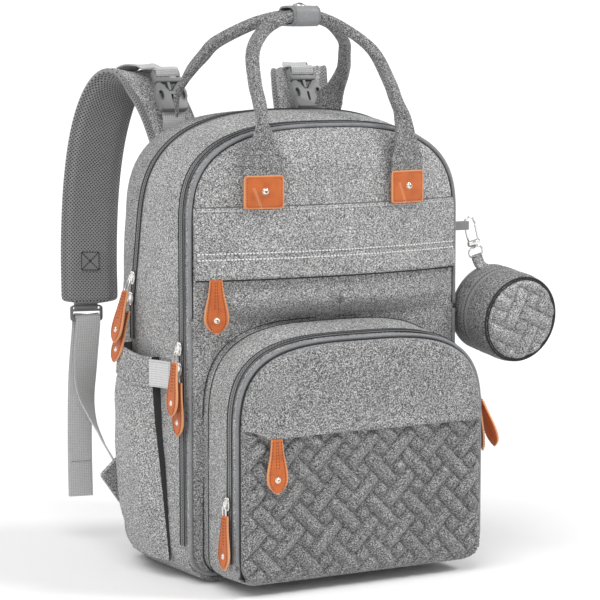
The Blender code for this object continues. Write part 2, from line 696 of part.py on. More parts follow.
def hanging_case():
    hang = Matrix.Translation(HOOK) @ Matrix.Rotation(HANG_ANGLE, 4, "Y")
    wire = 0.0011
    width = 0.0115
    foot = -0.0175

    # Hook: up the near wire, over the top and down to the nose; the base block joins on by a union
    arc = [
        (width / 2 - width / 2 * math.cos(a), 0, 0.0005 + width / 2 * math.sin(a))
        for a in (0, 0.5, 1.05, 1.57, 2.1, 2.64)
    ]
    route = [(0, 0, foot - 0.002), *arc, (width, 0, -0.0015)]
    rod = sweep([Vector(p) for p in route], (0, 1, 0), (2 * wire, 2 * wire), 6)
    block = box((-0.0022, -0.0030, foot - 0.0045), (width + 0.0022, 0.0030, foot), 0.0008)
    hook = boolean(rod, block, "hook", "UNION")
    hook.transform(hang)
    add_object("snap_hook", hook, "zip_metal", HOOK)

    gate_low = Vector((width, 0, foot + GAP))
    gate = sweep([gate_low, gate_low + Vector((0, 0, 0.008)), Vector((width, 0, -0.0020))], (0, 1, 0), (2 * wire, 2 * wire), 6)
    gate.transform(hang)
    add_object("hook_gate", gate, "zip_metal", hang @ gate_low)

    middle = width / 2
    ring = ring_tube((middle, 0, foot - 0.0108), 0.0070, 0.0050, 0.0010, hang)
    add_object("case_ring", ring, "zip_metal", hang @ Vector((middle, 0, foot - 0.005)))

    # Tab and case share a frame that nods forward under the case's weight
    frame = hang @ Matrix.Translation((middle, 0, foot - 0.0172)) @ Matrix.Rotation(CASE_NOD, 4, "X")
    top = CASE_DROP + foot - 0.0172
    tab = sweep(
        [(0, 0, 0), (0, -0.001, -0.004), (0, CASE_BACK - 0.005, -top + CASE_R + 0.0016)],
        (1, 0, 0),
        (0.011, 0.003),
    )
    tab.transform(frame)
    add_object("case_tab", tab, "body_fabric", frame @ Vector((0, 0, 0)))

    def disc(y, r, z=-top, count=28):
        return [frame @ Vector((r * math.sin(2 * math.pi * k / count), y, z + r * math.cos(2 * math.pi * k / count)))
                for k in range(count)]

    wall = 0.003
    back = [disc(CASE_BACK, CASE_R - 0.003), disc(CASE_BACK - 0.003, CASE_R), disc(CASE_SEAM + 0.0002, CASE_R)]
    back += [disc(CASE_SEAM + 0.0002, CASE_R - wall), disc(CASE_BACK - wall, CASE_R - wall)]
    add_object("case_back", loft(back), "body_fabric", frame @ Vector((0, 0, -top)))
    lid = [disc(CASE_SEAM - 0.0002, CASE_R - wall), disc(CASE_FACE + wall, CASE_R - wall)]
    lid = [disc(CASE_FACE - 0.003, CASE_R * 0.55), disc(CASE_FACE, CASE_R - 0.004), disc(CASE_FACE + 0.003, CASE_R),
           disc(CASE_SEAM - 0.0002, CASE_R), *lid]
    hinge = frame @ Vector((0, CASE_SEAM, -top - CASE_R))
    add_object("case_lid", loft(lid), "quilted_fabric", hinge)

    turn = Matrix.Rotation(math.radians(62), 4, "Y")
    stud = box((-0.0045, -0.0040, CASE_R + 0.0006), (0.0045, 0.0040, CASE_R + 0.0042), 0.0008)
    stud.transform(frame @ Matrix.Translation((0, CASE_SEAM, -top)) @ turn)
    add_object("case_slider", stud, "zip_metal", frame @ Vector((0, CASE_SEAM, -top)))


def build():
    for obj in list(bpy.data.objects):
        bpy.data.objects.remove(obj)
    main_shell()
    base_board()
    laptop_shell()
    back_pad()
    zips()
    side_pocket("side_pocket_left", -1)
    side_pocket("side_pocket_right", 1)
    side_loop()
    front_panel()
    front_flap()
    placket()
    pocket_gusset()
    pocket_lid()
    handle_tabs()
    handles()
    grip_halves()
    strap("left", -1)
    strap("right", 1)
    side_sliders()
    front_sliders()
    hanging_case()


build()
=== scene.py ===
"""The finished look of the diaper backpack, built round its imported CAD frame. Metres, +Z up, front towards -Y."""

import json
import math

import bmesh
import bpy
import numpy as np
from mathutils import Matrix, Vector, noise


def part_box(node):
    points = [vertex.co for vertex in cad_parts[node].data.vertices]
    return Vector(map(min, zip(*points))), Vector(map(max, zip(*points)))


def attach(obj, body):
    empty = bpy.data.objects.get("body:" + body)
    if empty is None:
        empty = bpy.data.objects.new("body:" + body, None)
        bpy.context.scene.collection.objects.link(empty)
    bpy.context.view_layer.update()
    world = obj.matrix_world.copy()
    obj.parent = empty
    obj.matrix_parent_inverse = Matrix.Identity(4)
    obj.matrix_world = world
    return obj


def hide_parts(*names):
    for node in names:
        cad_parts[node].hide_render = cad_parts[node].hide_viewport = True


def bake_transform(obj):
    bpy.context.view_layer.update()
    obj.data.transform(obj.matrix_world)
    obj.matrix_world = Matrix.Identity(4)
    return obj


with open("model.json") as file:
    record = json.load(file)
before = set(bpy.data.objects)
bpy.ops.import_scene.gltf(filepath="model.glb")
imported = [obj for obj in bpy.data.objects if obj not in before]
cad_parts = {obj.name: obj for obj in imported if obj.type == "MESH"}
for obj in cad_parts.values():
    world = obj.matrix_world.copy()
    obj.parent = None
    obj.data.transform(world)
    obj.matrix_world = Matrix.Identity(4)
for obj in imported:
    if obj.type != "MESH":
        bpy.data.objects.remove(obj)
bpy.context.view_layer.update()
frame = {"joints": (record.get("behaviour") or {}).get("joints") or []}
JOINTS = {j["name"]: j for j in frame["joints"]}

# Sizes shared with the CAD part
HALF_W, FRONT_TOP = 0.1425, 0.4205
REAR_HALF_W, REAR_TOP = 0.1465, 0.4305
ARCH_START, ARCH_POWER, BASE_RADIUS = 0.33, 2.8, 0.030
POCKET_POWER = 3.3
RIM_Y, PANEL_Y, FOLD_Z, CROWN = -0.060, -0.067, 0.242, 0.020
POCKET_HALF_W, POCKET_TOP, POCKET_ARCH_START, POCKET_BOTTOM = 0.129, 0.236, 0.14, 0.010
POCKET_RIM_Y = -0.1320
HANDLE_X = 0.0765
PLACKET_LOW, PLACKET_HIGH = 0.282, 0.347
SLIT_Z = 0.1455
WALL = 0.004
# Half the gap that the laptop zip closes
ZIP_SLIT = 0.0004


# --- Materials -------------------------------------------------------------------------------------------


class Look:
    """A node material in the making. add() makes a node; its keyword values set sockets by name."""

    def __init__(self, name, roughness=0.8, metallic=0.0, sheen=0.0, coat=0.0, specular=0.5):
        self.mat = bpy.data.materials.new(name)
        self.mat.use_nodes = True
        self.tree = self.mat.node_tree
        self.shader = self.tree.nodes["Principled BSDF"]
        self.shader.inputs["Roughness"].default_value = roughness
        self.shader.inputs["Metallic"].default_value = metallic
        self.shader.inputs["Sheen Weight"].default_value = sheen
        self.shader.inputs["Sheen Roughness"].default_value = 0.5
        self.shader.inputs["Coat Weight"].default_value = coat
        self.shader.inputs["Specular IOR Level"].default_value = specular
        self.coords = self.add("ShaderNodeTexCoord").outputs["Object"]

    def add(self, kind, **values):
        node = self.tree.nodes.new(kind)
        for key, value in values.items():
            if key in node.inputs:
                self.set(node.inputs[key], value)
            else:
                setattr(node, key, value)
        return node

    def set(self, socket, value):
        if isinstance(value, bpy.types.NodeSocket):
            self.tree.links.new(value, socket)
        else:
            socket.default_value = value

    def math(self, operation, a, b=0.0, clamp=False):
        node = self.add("ShaderNodeMath", operation=operation, use_clamp=clamp)
        self.set(node.inputs[0], a)
        self.set(node.inputs[1], b)
        return node.outputs[0]

    def noise(self, scale, detail=2.0, stretch=None, source=None, rough=0.6):
        vector = source or self.coords
        if stretch:
            vector = self.add("ShaderNodeMapping", Vector=vector, Scale=stretch).outputs[0]
        node = self.add("ShaderNodeTexNoise", Vector=vector, Scale=scale, Detail=detail, Roughness=rough)
        return node.outputs["Fac"]

    def ramp(self, fac, stops):
        node = self.add("ShaderNodeValToRGB", Fac=fac)
        while len(node.color_ramp.elements) < len(stops):
            node.color_ramp.elements.new(0.5)
        for element, (at, colour) in zip(node.color_ramp.elements, stops):
            element.position = at
            element.color = (*colour, 1) if isinstance(colour, tuple) else (colour, colour, colour, 1)
        return node.outputs["Color"]

    def mix(self, fac, a, b, blend="MIX"):
        node = self.add("ShaderNodeMix", data_type="RGBA", blend_type=blend)
        self.set(node.inputs["Factor"], fac)
        for socket, value in ((node.inputs[6], a), (node.inputs[7], b)):
            self.set(socket, (*value, 1) if isinstance(value, tuple) else value)
        return node.outputs[2]

    def attribute(self, name):
        return self.add("ShaderNodeAttribute", attribute_name=name).outputs["Vector"]

    def parts(self, vector):
        return self.add("ShaderNodeSeparateXYZ", Vector=vector).outputs

    def colour(self, socket):
        self.set(self.shader.inputs["Base Color"], socket)

    def bump(self, height, distance, strength=1.0, after=None):
        node = self.add("ShaderNodeBump", Height=height, Distance=distance, Strength=strength)
        if after:
            self.set(node.inputs["Normal"], after)
        self.set(self.shader.inputs["Normal"], node.outputs[0])
        return node.outputs[0]

    def rough(self, fac, low, high):
        node = self.add("ShaderNodeMapRange")
        self.set(node.inputs["Value"], fac)
        node.inputs["To Min"].default_value = low
        node.inputs["To Max"].default_value = high
        self.set(self.shader.inputs["Roughness"], node.outputs[0])


def heather(name, dark, mid, light):
    """Plain-woven melange polyester: pale and dark threads crossing, in short flecks."""
    look = Look(name, roughness=0.92, sheen=0.10, specular=0.25)
    weft = look.noise(1.0, 2.0, (560, 560, 1500))
    warp = look.noise(1.0, 2.0, (1500, 1500, 560))
    grain = look.noise(1700, 1.0)
    cloudy = look.noise(22, 3.0)
    threads = look.math("ADD", look.math("MULTIPLY", weft, 0.5), look.math("MULTIPLY", warp, 0.5))
    flecks = look.math("ADD", look.math("MULTIPLY", threads, 0.66), look.math("MULTIPLY", grain, 0.34))
    tones = look.ramp(flecks, ((0.43, dark), (0.482, mid * 0.80), (0.518, mid * 1.18), (0.572, light)))
    worn = look.ramp(cloudy, ((0.3, 0.90), (0.7, 1.06)))
    look.colour(look.mix(1.0, tones, worn, "MULTIPLY"))
    look.bump(flecks, 0.0013, 0.7)
    return look.mat


def webbing_look(name, tone):
    """Ribbed tape: fine ribs across its width, read from the flow attribute (along, across, depth)."""
    look = Look(name, roughness=0.7, sheen=0.12, specular=0.35)
    along, across, _ = look.parts(look.attribute("flow"))
    ribs = look.math("SINE", look.math("MULTIPLY", along, 2 * math.pi / 0.0016))
    cords = look.math("SINE", look.math("MULTIPLY", across, 2 * math.pi / 0.0022))
    weave = look.math("ADD", look.math("MULTIPLY", ribs, 0.35), look.math("MULTIPLY", cords, 0.30))
    fibre = look.noise(1300, 2.0)
    height = look.math("ADD", look.math("MULTIPLY", weave, 0.5), fibre)
    look.colour(look.ramp(height, ((0.1, tone * 0.62), (0.5, tone), (0.95, tone * 1.3))))
    look.bump(height, 0.0005, 0.6)
    return look.mat


def mesh_look(name, tone, hole):
    """Spacer mesh: round holes in a staggered grid, read from the flow attribute."""
    look = Look(name, roughness=0.85, sheen=0.15, specular=0.3)
    along, across, _ = look.parts(look.attribute("flow"))
    u = look.math("DIVIDE", along, 0.0036)
    v = look.math("DIVIDE", across, 0.0034)

    def dots(shift):
        a = look.math("SUBTRACT", look.math("FRACT", look.math("ADD", u, shift)), 0.5)
        b = look.math("SUBTRACT", look.math("FRACT", look.math("ADD", v, shift)), 0.5)
        a2 = look.math("MULTIPLY", look.math("MULTIPLY", a, a), 1.2)
        b2 = look.math("MULTIPLY", b, b)
        return look.math("SQRT", look.math("ADD", a2, b2))

    distance = look.math("MINIMUM", dots(0.0), dots(0.5))
    fibre = look.noise(1500, 2.0)
    edge = look.math("ADD", distance, look.math("MULTIPLY", look.math("SUBTRACT", fibre, 0.5), 0.10))
    openness = look.ramp(edge, ((0.16, 0.0), (0.25, 1.0)))
    yarn = look.ramp(fibre, ((0.3, tone * 0.78), (0.7, tone * 1.18)))
    look.colour(look.mix(openness, (hole, hole, hole), yarn))
    look.bump(openness, 0.0009, 0.8)
    return look.mat


def leather_look(name, tone, edge):
    """Tan leather: fine pebbled grain, darker in its pores, with paler worn edges."""
    look = Look(name, roughness=0.5, coat=0.06, specular=0.45)
    pores = look.add("ShaderNodeTexVoronoi", Vector=look.coords, Scale=1100, feature="F1").outputs["Distance"]
    cloud = look.noise(60, 4.0)
    fine = look.noise(900, 3.0)
    deep = (tone[0] * 0.70, tone[1] * 0.60, tone[2] * 0.55)
    pale = (min(tone[0] * 1.12, 1), tone[1] * 1.22, tone[2] * 1.35)
    body = look.ramp(cloud, ((0.28, deep), (0.5, tone), (0.74, pale)))
    grained = look.mix(look.math("MULTIPLY", pores, 0.35), body, deep)
    wear, _, _ = look.parts(look.attribute("wear"))
    rubbed = look.math("MULTIPLY", wear, look.math("ADD", 0.55, look.math("MULTIPLY", fine, 0.6)), clamp=True)
    look.colour(look.mix(rubbed, grained, edge))
    look.rough(fine, 0.38, 0.62)
    look.bump(look.math("ADD", pores, look.math("MULTIPLY", fine, 0.6)), 0.00035, 0.5)
    return look.mat


def plastic_look(name, tone):
    look = Look(name, roughness=0.42, specular=0.5)
    fine = look.noise(1600, 3.0)
    broad = look.noise(45, 2.0)
    look.colour(look.ramp(broad, ((0.3, (tone * 0.92, tone * 0.93, tone * 0.95)), (0.7, (tone * 1.07,) * 3))))
    look.rough(fine, 0.34, 0.5)
    look.bump(fine, 0.00012, 0.5)
    return look.mat


def metal_look(name, tone, rough):
    look = Look(name, roughness=rough, metallic=1.0)
    smudge = look.noise(260, 3.0)
    look.colour(look.ramp(smudge, ((0.3, tuple(c * 0.88 for c in tone)), (0.7, tone))))
    look.rough(smudge, rough * 0.7, rough * 1.5)
    look.bump(look.noise(700, 2.0), 0.00006, 0.4)
    return look.mat


def smooth_cloth_look(name, tone, sheen=0.2, scale=1500.0, rough=0.75, coat=0.0):
    """Fine plain cloth or coated trim whose weave is barely seen."""
    look = Look(name, roughness=rough, sheen=sheen, coat=coat, specular=0.35)
    fibre = look.noise(scale, 2.0)
    broad = look.noise(40, 2.0)
    mixed = look.math("ADD", look.math("MULTIPLY", fibre, 0.6), look.math("MULTIPLY", broad, 0.4))
    low, high = tuple(c * 0.82 for c in tone), tuple(min(c * 1.15, 1) for c in tone)
    look.colour(look.ramp(mixed, ((0.35, low), (0.65, high))))
    look.bump(fibre, 0.0003, 0.4)
    return look.mat


FABRIC = heather("heather_fabric", 0.052, 0.275, 0.79)
# The side's copy of the heather is painted lighter than the front's: painted light where the lamps fall more on the
# sides.
FABRIC_SIDE_LIT = heather("heather_side_painted_light", 0.058, 0.288, 0.80)
# The lid's copy of the heather is painted darker than the front's: painted shade on the lower front, also used on the
# laptop cover.
FABRIC_LID_SHADED = heather("heather_lid_painted_shade", 0.043, 0.212, 0.66)
# The quilting's copy of the heather is painted darker still: painted shade on the quilted lid, also used on the
# case's back cup.
FABRIC_DEEP_SHADED = heather("heather_quilt_painted_shade", 0.029, 0.168, 0.55)
# The handles' copy of the heather is painted darker than the front's: painted shade on the rolled handles.
HANDLE_CLOTH_SHADED = heather("heather_handle_painted_shade", 0.038, 0.172, 0.55)
WEBBING = webbing_look("grey_webbing", 0.50)
WEBBING_PALE = webbing_look("pale_tape", 0.60)
MESH = mesh_look("spacer_mesh", 0.265, 0.028)
LEATHER = leather_look("tan_leather", (0.56, 0.130, 0.022), (0.78, 0.40, 0.20))
STITCH_DARK = smooth_cloth_look("brown_thread", (0.20, 0.055, 0.018), 0.1, 3000.0)
STITCH_GREY = smooth_cloth_look("grey_thread", (0.55, 0.55, 0.55), 0.1, 3000.0)
STITCH_PALE = smooth_cloth_look("pale_thread", (0.80, 0.80, 0.79), 0.1, 3000.0)
STITCH_DIM = smooth_cloth_look("dim_thread", (0.13, 0.13, 0.13), 0.1, 3000.0)
PIPING = smooth_cloth_look("coated_piping", (0.225, 0.23, 0.24), 0.05, 500.0, 0.5, 0.04)
SEAM = smooth_cloth_look("seam_shadow", (0.035, 0.035, 0.037), 0.05, 1500.0, 0.9)
TAPE = smooth_cloth_look("zip_tape_cloth", (0.255, 0.257, 0.262), 0.1, 2000.0)
TEETH = smooth_cloth_look("zip_coil", (0.100, 0.101, 0.105), 0.0, 2500.0, 0.45, 0.05)
WEB_DIM = smooth_cloth_look("patch_cloth", (0.20, 0.20, 0.203), 0.1, 1200.0)
LINING = smooth_cloth_look("lining_cloth", (0.17, 0.172, 0.18), 0.25, 1700.0)
GRIP = smooth_cloth_look("grip_coating", (0.26, 0.265, 0.27), 0.08, 900.0, 0.55, 0.04)
PLASTIC = plastic_look("buckle_plastic", 0.17)
DARK = plastic_look("buckle_shadow", 0.03)
SILVER = metal_look("polished_silver", (0.86, 0.85, 0.83), 0.16)
RIVET = metal_look("rivet_silver", (0.90, 0.86, 0.78), 0.14)
# Dark metal for the rivets' pits: painted shade in the hollow.
RIVET_PIT_SHADE = metal_look("rivet_pit_painted_shade", (0.30, 0.22, 0.15), 0.35)


# --- Mesh helpers ----------------------------------------------------------------------------------------

# The last ring of a swept strip: how flat it is, and how far it stands beyond the end
END_SHRINK, END_PUSH = 0.55, 0.0006


def make(name, verts, faces, mats, body=None, smooth=40, replaces=(), face_mats=None, attrs=None):
    """A piece from its vertices and faces, riding on body."""
    mesh = bpy.data.meshes.new(name)
    mesh.from_pydata([tuple(v) for v in verts], [], faces)
    mats = mats if isinstance(mats, (list, tuple)) else [mats]
    for mat in mats:
        mesh.materials.append(mat)
    if face_mats is not None:
        mesh.polygons.foreach_set("material_index", face_mats)
    for key, rows in (attrs or {}).items():
        layer = mesh.attributes.new(key, "FLOAT_VECTOR", "POINT")
        layer.data.foreach_set("vector", np.asarray(rows, dtype=np.float32).ravel())
    bm = bmesh.new()
    bm.from_mesh(mesh)
    bmesh.ops.recalc_face_normals(bm, faces=bm.faces[:])
    bm.to_mesh(mesh)
    bm.free()
    mesh.shade_smooth()
    if smooth < 180:
        mesh.set_sharp_from_angle(angle=math.radians(smooth))
    obj = bpy.data.objects.new(name, mesh)
    bpy.context.scene.collection.objects.link(obj)
    if body:
        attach(obj, body)
    if replaces:
        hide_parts(*replaces)
    return obj


def grid_faces(rows, cols, wrap_cols=False, wrap_rows=False, start=0):
    faces = []
    for i in range(rows if wrap_rows else rows - 1):
        for j in range(cols if wrap_cols else cols - 1):
            a, b = start + i * cols + j, start + i * cols + (j + 1) % cols
            k = ((i + 1) % rows) * cols + start
            faces.append((a, b, k + (j + 1) % cols, k + j))
    return faces


def layered_faces(rows, cols):
    """Faces of a thin piece given as a front grid of vertices and then a rear one."""
    half = rows * cols
    faces = grid_faces(rows, cols) + [f[::-1] for f in grid_faces(rows, cols, start=half)]
    rims = [(i * cols + j, (i + 1) * cols + j) for i in range(rows - 1) for j in (0, cols - 1)]
    rims += [(i * cols + j, i * cols + j + 1) for i in (0, rows - 1) for j in range(cols - 1)]
    return faces + [(a, b, half + b, half + a) for a, b in rims]


def rings_mesh(rings, caps=(True, True), loop=False):
    """Vertices and faces through closed rings of equally many points."""
    cols = len(rings[0])
    verts = [p for ring in rings for p in ring]
    faces = grid_faces(len(rings), cols, wrap_cols=True, wrap_rows=loop)
    if not loop:
        if caps[0]:
            faces.append(tuple(range(cols)))
        if caps[1]:
            faces.append(tuple(range(len(verts) - cols, len(verts))))
    return verts, faces


def shell_mesh(outer, inner, outer_caps, inner_caps, rim):
    """A closed shell whose rim joins the first outside ring to one inside ring, with 1 for each inside face."""
    verts, faces = rings_mesh(outer, outer_caps)
    more, inside = rings_mesh(inner, inner_caps)
    start, count = len(verts), len(outer[0])
    shades = [0] * len(faces) + [1] * len(inside) + [0] * count
    faces += [tuple(start + k for k in f) for f in inside]
    link = start + rim * count
    faces += [(j, (j + 1) % count, link + (j + 1) % count, link + j) for j in range(count)]
    return verts + more, faces, shades


def resample(points, count, closed=True):
    """Evenly spaced points along a polyline."""
    pts = np.array([tuple(p) for p in points], dtype=float)
    if closed:
        pts = np.vstack([pts, pts[:1]])
    step = np.linalg.norm(np.diff(pts, axis=0), axis=1)
    total = np.concatenate([[0], np.cumsum(step)])
    at = np.linspace(0, total[-1], count + 1)[:-1] if closed else np.linspace(0, total[-1], count)
    return np.stack([np.interp(at, total, pts[:, k]) for k in range(pts.shape[1])], axis=1)


def outline(half_w, top, bottom=0.0, radius=BASE_RADIUS, inset=0.0, arch_start=ARCH_START, count=176,
            power=ARCH_POWER):
    """Evenly spaced (x, z) round a flat-bottomed shape with a superelliptic top, from its bottom middle."""
    w, h, low, r = half_w - inset, top - inset, bottom + inset, max(radius - inset, 0.003)
    right = [(0.0, low)]
    right += [(w - r + r * math.sin(a), low + r - r * math.cos(a)) for a in np.linspace(0, math.pi / 2, 12)]
    for angle in np.linspace(0, math.pi / 2, 60):
        x = w * math.cos(angle) ** (2 / power) if angle < math.pi / 2 - 1e-9 else 0.0
        right.append((x, arch_start + (h - arch_start) * math.sin(angle) ** (2 / power)))
    left = [(-x, z) for x, z in reversed(right[1:-1])]
    return resample(right + left, count)


def wobble(point, amp, scale=24.0, seed=0.0):
    """Smooth offset that gives cloth its slack."""
    p = Vector(point) * scale + Vector((seed, seed * 0.7, -seed))
    return amp * (noise.noise(p) + 0.5 * noise.noise(p * 2.1))


def smoothstep(low, high, value):
    t = min(max((value - low) / (high - low), 0.0), 1.0)
    return t * t * (3 - 2 * t)


def spline(points, per_span):
    points = [Vector(p) for p in points]
    ends = [2 * points[0] - points[1], *points, 2 * points[-1] - points[-2]]
    made = []
    for a, b, c, d in zip(ends, ends[1:], ends[2:], ends[3:]):
        for k in range(per_span):
            t = k / per_span
            made.append(
                0.5 * (2 * b + (c - a) * t + (2 * a - 5 * b + 4 * c - d) * t**2 + (3 * b - a - 3 * c + d) * t**3)
            )
    return [*made, points[-1]]


def frames(path, wide):
    """(point, along, wide, thick) at each point; wide is one direction or one for each point."""
    made = []
    for i, point in enumerate(path):
        along = (path[min(i + 1, len(path) - 1)] - path[max(i - 1, 0)]).normalized()
        w = Vector(wide[i] if isinstance(wide, list) else wide)
        w = (w - along * w.dot(along)).normalized()
        made.append((Vector(point), along, w, along.cross(w)))
    return made


def sweep(name, path, wide, section, mats, body=None, replaces=(), smooth=50):
    """Sweeps section(t) -> [(across, depth)] along path and stores the flow attribute.
    The ends are closed by a flatter last ring so that they look folded, not sawn."""
    data = frames([Vector(p) for p in path], wide)
    runs = [0.0]
    for a, b in zip(data, data[1:]):
        runs.append(runs[-1] + (b[0] - a[0]).length)
    last = len(data) - 1
    rings = [(0, 0.0, END_SHRINK, -END_PUSH), *((i, i / last, 1.0, 0.0) for i in range(last + 1)),
             (last, 1.0, END_SHRINK, END_PUSH)]
    verts, flow = [], []
    for index, t, shrink, push in rings:
        point, along, w, thick = data[index]
        pts = section(t)
        half = max(abs(a) for a, _ in pts)
        for a, d in pts:
            side = a * (1 - (1 - shrink) * 0.0012 / half)
            verts.append(point + along * push + w * side + thick * (d * shrink))
            flow.append((runs[index], a, d))
    cols = len(pts)
    faces = grid_faces(len(rings), cols, wrap_cols=True)
    faces += [tuple(range(cols)), tuple(range(len(verts) - cols, len(verts)))]
    return make(name, verts, faces, mats, body, smooth, replaces, attrs={"flow": flow})


def signed_power(value, exponent):
    return math.copysign(abs(value) ** exponent, value)


def circle(radius, count):
    return [(radius * math.cos(a), radius * math.sin(a)) for a in np.linspace(0, 2 * math.pi, count, endpoint=False)]


def superellipse(rx, ry, power=0.5, count=40, centre=(0, 0), offset=0.0):
    """Points round a rounded rectangle; power near 0 is square, 1 is an ellipse."""
    angles = [2 * math.pi * (k + offset) / count for k in range(count)]
    return [
        (centre[0] + signed_power(math.cos(a), power) * rx, centre[1] + signed_power(math.sin(a), power) * ry)
        for a in angles
    ]


def strip_section(width, thick, sides=20, power=0.35):
    def section(t):
        return superellipse(width / 2, (thick(t) if callable(thick) else thick) / 2, power, sides, offset=0.5)

    return section


def tube(name, path, radius, mats, body=None, sides=10, closed=False, smooth=180, replaces=()):
    """Round cord through path."""
    path = [Vector(p) for p in path]
    count = len(path)
    verts, flow, run = [], [], 0.0
    reference = None
    for i, point in enumerate(path):
        before = path[i - 1] if i or closed else path[0]
        after = path[(i + 1) % count] if i < count - 1 or closed else path[-1]
        along = (after - before).normalized()
        if reference is None:
            reference = along.orthogonal().normalized()
        reference = (reference - along * reference.dot(along)).normalized()
        other = along.cross(reference)
        run += (point - path[i - 1]).length if i else 0
        for k in range(sides):
            a = 2 * math.pi * k / sides
            verts.append(point + radius * (reference * math.cos(a) + other * math.sin(a)))
            flow.append((run, radius * a, 0))
    faces = grid_faces(count, sides, wrap_cols=True, wrap_rows=closed)
    if not closed:
        faces += [tuple(range(sides)), tuple(range(len(verts) - sides, len(verts)))]
    return make(name, verts, faces, mats, body, smooth, replaces, attrs={"flow": flow})


def merge_blocks(name, placements, block, mats, body, smooth=50):
    """Many copies of a small closed block (verts, faces), one for each matrix, as one piece."""
    base_v, base_f = block
    verts, faces = [], []
    for matrix in placements:
        start = len(verts)
        verts += [matrix @ Vector(v) for v in base_v]
        faces += [tuple(start + k for k in f) for f in base_f]
    return make(name, verts, faces, mats, body, smooth)


def pill(length, width, height, segments=6):
    """A small stitch: a rounded bar along X."""
    rings = []
    for x, s in ((-0.5, 0.35), (-0.38, 0.85), (0, 1.0), (0.38, 0.85), (0.5, 0.35)):
        ring = []
        for k in range(segments):
            a = 2 * math.pi * k / segments
            ring.append((x * length, s * width / 2 * math.cos(a), s * height / 2 * math.sin(a)))
        rings.append(ring)
    return rings_mesh(rings)


TOOTH = pill(0.00115, 0.0020, 0.0014)


def axes(point, x_dir, z_dir):
    """Matrix with its X along x_dir and its Z near z_dir."""
    x = Vector(x_dir).normalized()
    z = Vector(z_dir)
    z = (z - x * z.dot(x)).normalized()
    y = z.cross(x)
    made = Matrix((x, y, z)).transposed().to_4x4()
    made.translation = Vector(point)
    return made


def stitches(name, path, normal, mats, body, pitch=0.0032, length=0.0022, width=0.0007, slant=0.0):
    """A row of stitches along path. normal is one direction, or one for each path point."""
    pts = [Vector(p) for p in path]
    total = sum((b - a).length for a, b in zip(pts, pts[1:]))
    count = max(int(total / pitch), 2)
    even = resample(pts, count + 1, closed=False)
    even = [Vector(p) for p in even]
    placements = []
    for a, b in zip(even, even[1:]):
        n = normal((a + b) / 2) if callable(normal) else Vector(normal)
        along = (b - a).normalized()
        if slant:
            along = Matrix.Rotation(slant, 4, n) @ along
        placements.append(axes((a + b) / 2, along, n))
    return merge_blocks(name, placements, pill(length, width, width * 0.8), mats, body, 180)


def dome(name, centre, normal, radius, height, mats, body, pit=0.35):
    """Round rivet head with a flange, a dome and a small pit in its middle, coloured dark as painted shade."""
    profile = [(1.38, 0.0), (1.38, 0.10), (1.06, 0.18), (0.98, 0.24)]
    profile += [(math.cos(a), 0.24 + 0.76 * math.sin(a)) for a in np.linspace(0.15, 1.15, 6)]
    profile += [(pit, 0.93), (pit * 0.8, 0.72), (pit * 0.35, 0.66)]
    base = axes(centre, Vector(normal).orthogonal(), normal)
    count = 24
    rings = [
        [base @ Vector((x, y, h * height)) for x, y in circle(r * radius, count)] for r, h in [(0.9, -0.1), *profile]
    ]
    verts, faces = rings_mesh(rings)
    # The pit's last rows get the dark metal: painted shade.
    painted_pit_rows = (len(profile) - 2, len(profile) - 1)
    shades = [1 if i // count in painted_pit_rows else 0 for i in range((len(rings) - 1) * count)] + [0, 1]
    return make(name, verts, faces, [mats, RIVET_PIT_SHADE], body, 60, face_mats=shades)


def prism(name, points, low, high, matrix, mats, body, bevel=0.0006, smooth=35, segments=2):
    """A flat shape given by (x, y) points, drawn out in Z from low to high, with rounded edges."""
    verts = [matrix @ Vector((x, y, low)) for x, y in points] + [matrix @ Vector((x, y, high)) for x, y in points]
    n = len(points)
    faces = [tuple(range(n)), tuple(range(n, 2 * n))] + [(i, (i + 1) % n, n + (i + 1) % n, n + i) for i in range(n)]
    obj = make(name, verts, faces, mats, body, smooth)
    if bevel:
        modifier = obj.modifiers.new("edge", "BEVEL")
        modifier.width = bevel
        modifier.segments = segments
        modifier.angle_limit = math.radians(50)
    return obj


def apply_modifiers(obj):
    bpy.context.view_layer.update()
    evaluated = obj.evaluated_get(bpy.context.evaluated_depsgraph_get())
    mesh = bpy.data.meshes.new_from_object(evaluated)
    obj.modifiers.clear()
    obj.data = mesh
    return obj


# --- Body shells -----------------------------------------------------------------------------------------


def rear_zip_y(z):
    return 0.046 - 0.20 * max(z - 0.25, 0)


def back_y(z):
    return 0.078 - 0.07 * max(z - 0.25, 0)


def side_point(x, z, y):
    """A point on the body's side, given the slack of filled cloth, faded near the zips."""
    span = rear_zip_y(z) - RIM_Y
    t = (y - RIM_Y) / span
    swell = 0.0022 * math.sin(math.pi * min(max(t, 0), 1)) ** 0.8 * smoothstep(0.0, 0.05, z)
    away = Vector((x, 0, (z - 0.25) * 0.25)).normalized()
    p = Vector((x, y, z))
    ripple = wobble(p, 0.0011, 20.0, 3.1) * math.sin(math.pi * min(max(t, 0), 1))
    return p + away * (swell + ripple) * smoothstep(0.002, 0.03, z)


def build_main_side():
    def ring(t, inset, place):
        ease = math.sin(t * math.pi / 2)
        w, top = HALF_W + (REAR_HALF_W - HALF_W) * ease, FRONT_TOP + (REAR_TOP - FRONT_TOP) * ease
        points = outline(w, top, inset=inset)
        return [place(x, z, RIM_Y + t * (rear_zip_y(z) - ZIP_SLIT - inset - RIM_Y)) for x, z in points]

    outer = [ring(t / 25, 0.0, side_point) for t in range(26)]
    inner = [ring(1 - t / 4, WALL, lambda x, z, y: Vector((x, y, z))) for t in range(5)]
    verts, faces, shades = shell_mesh(outer, inner, (False, True), (True, False), 4)
    make("main_side", verts, faces, [FABRIC_SIDE_LIT, LINING], "bag", 40, ("main_shell",), shades)


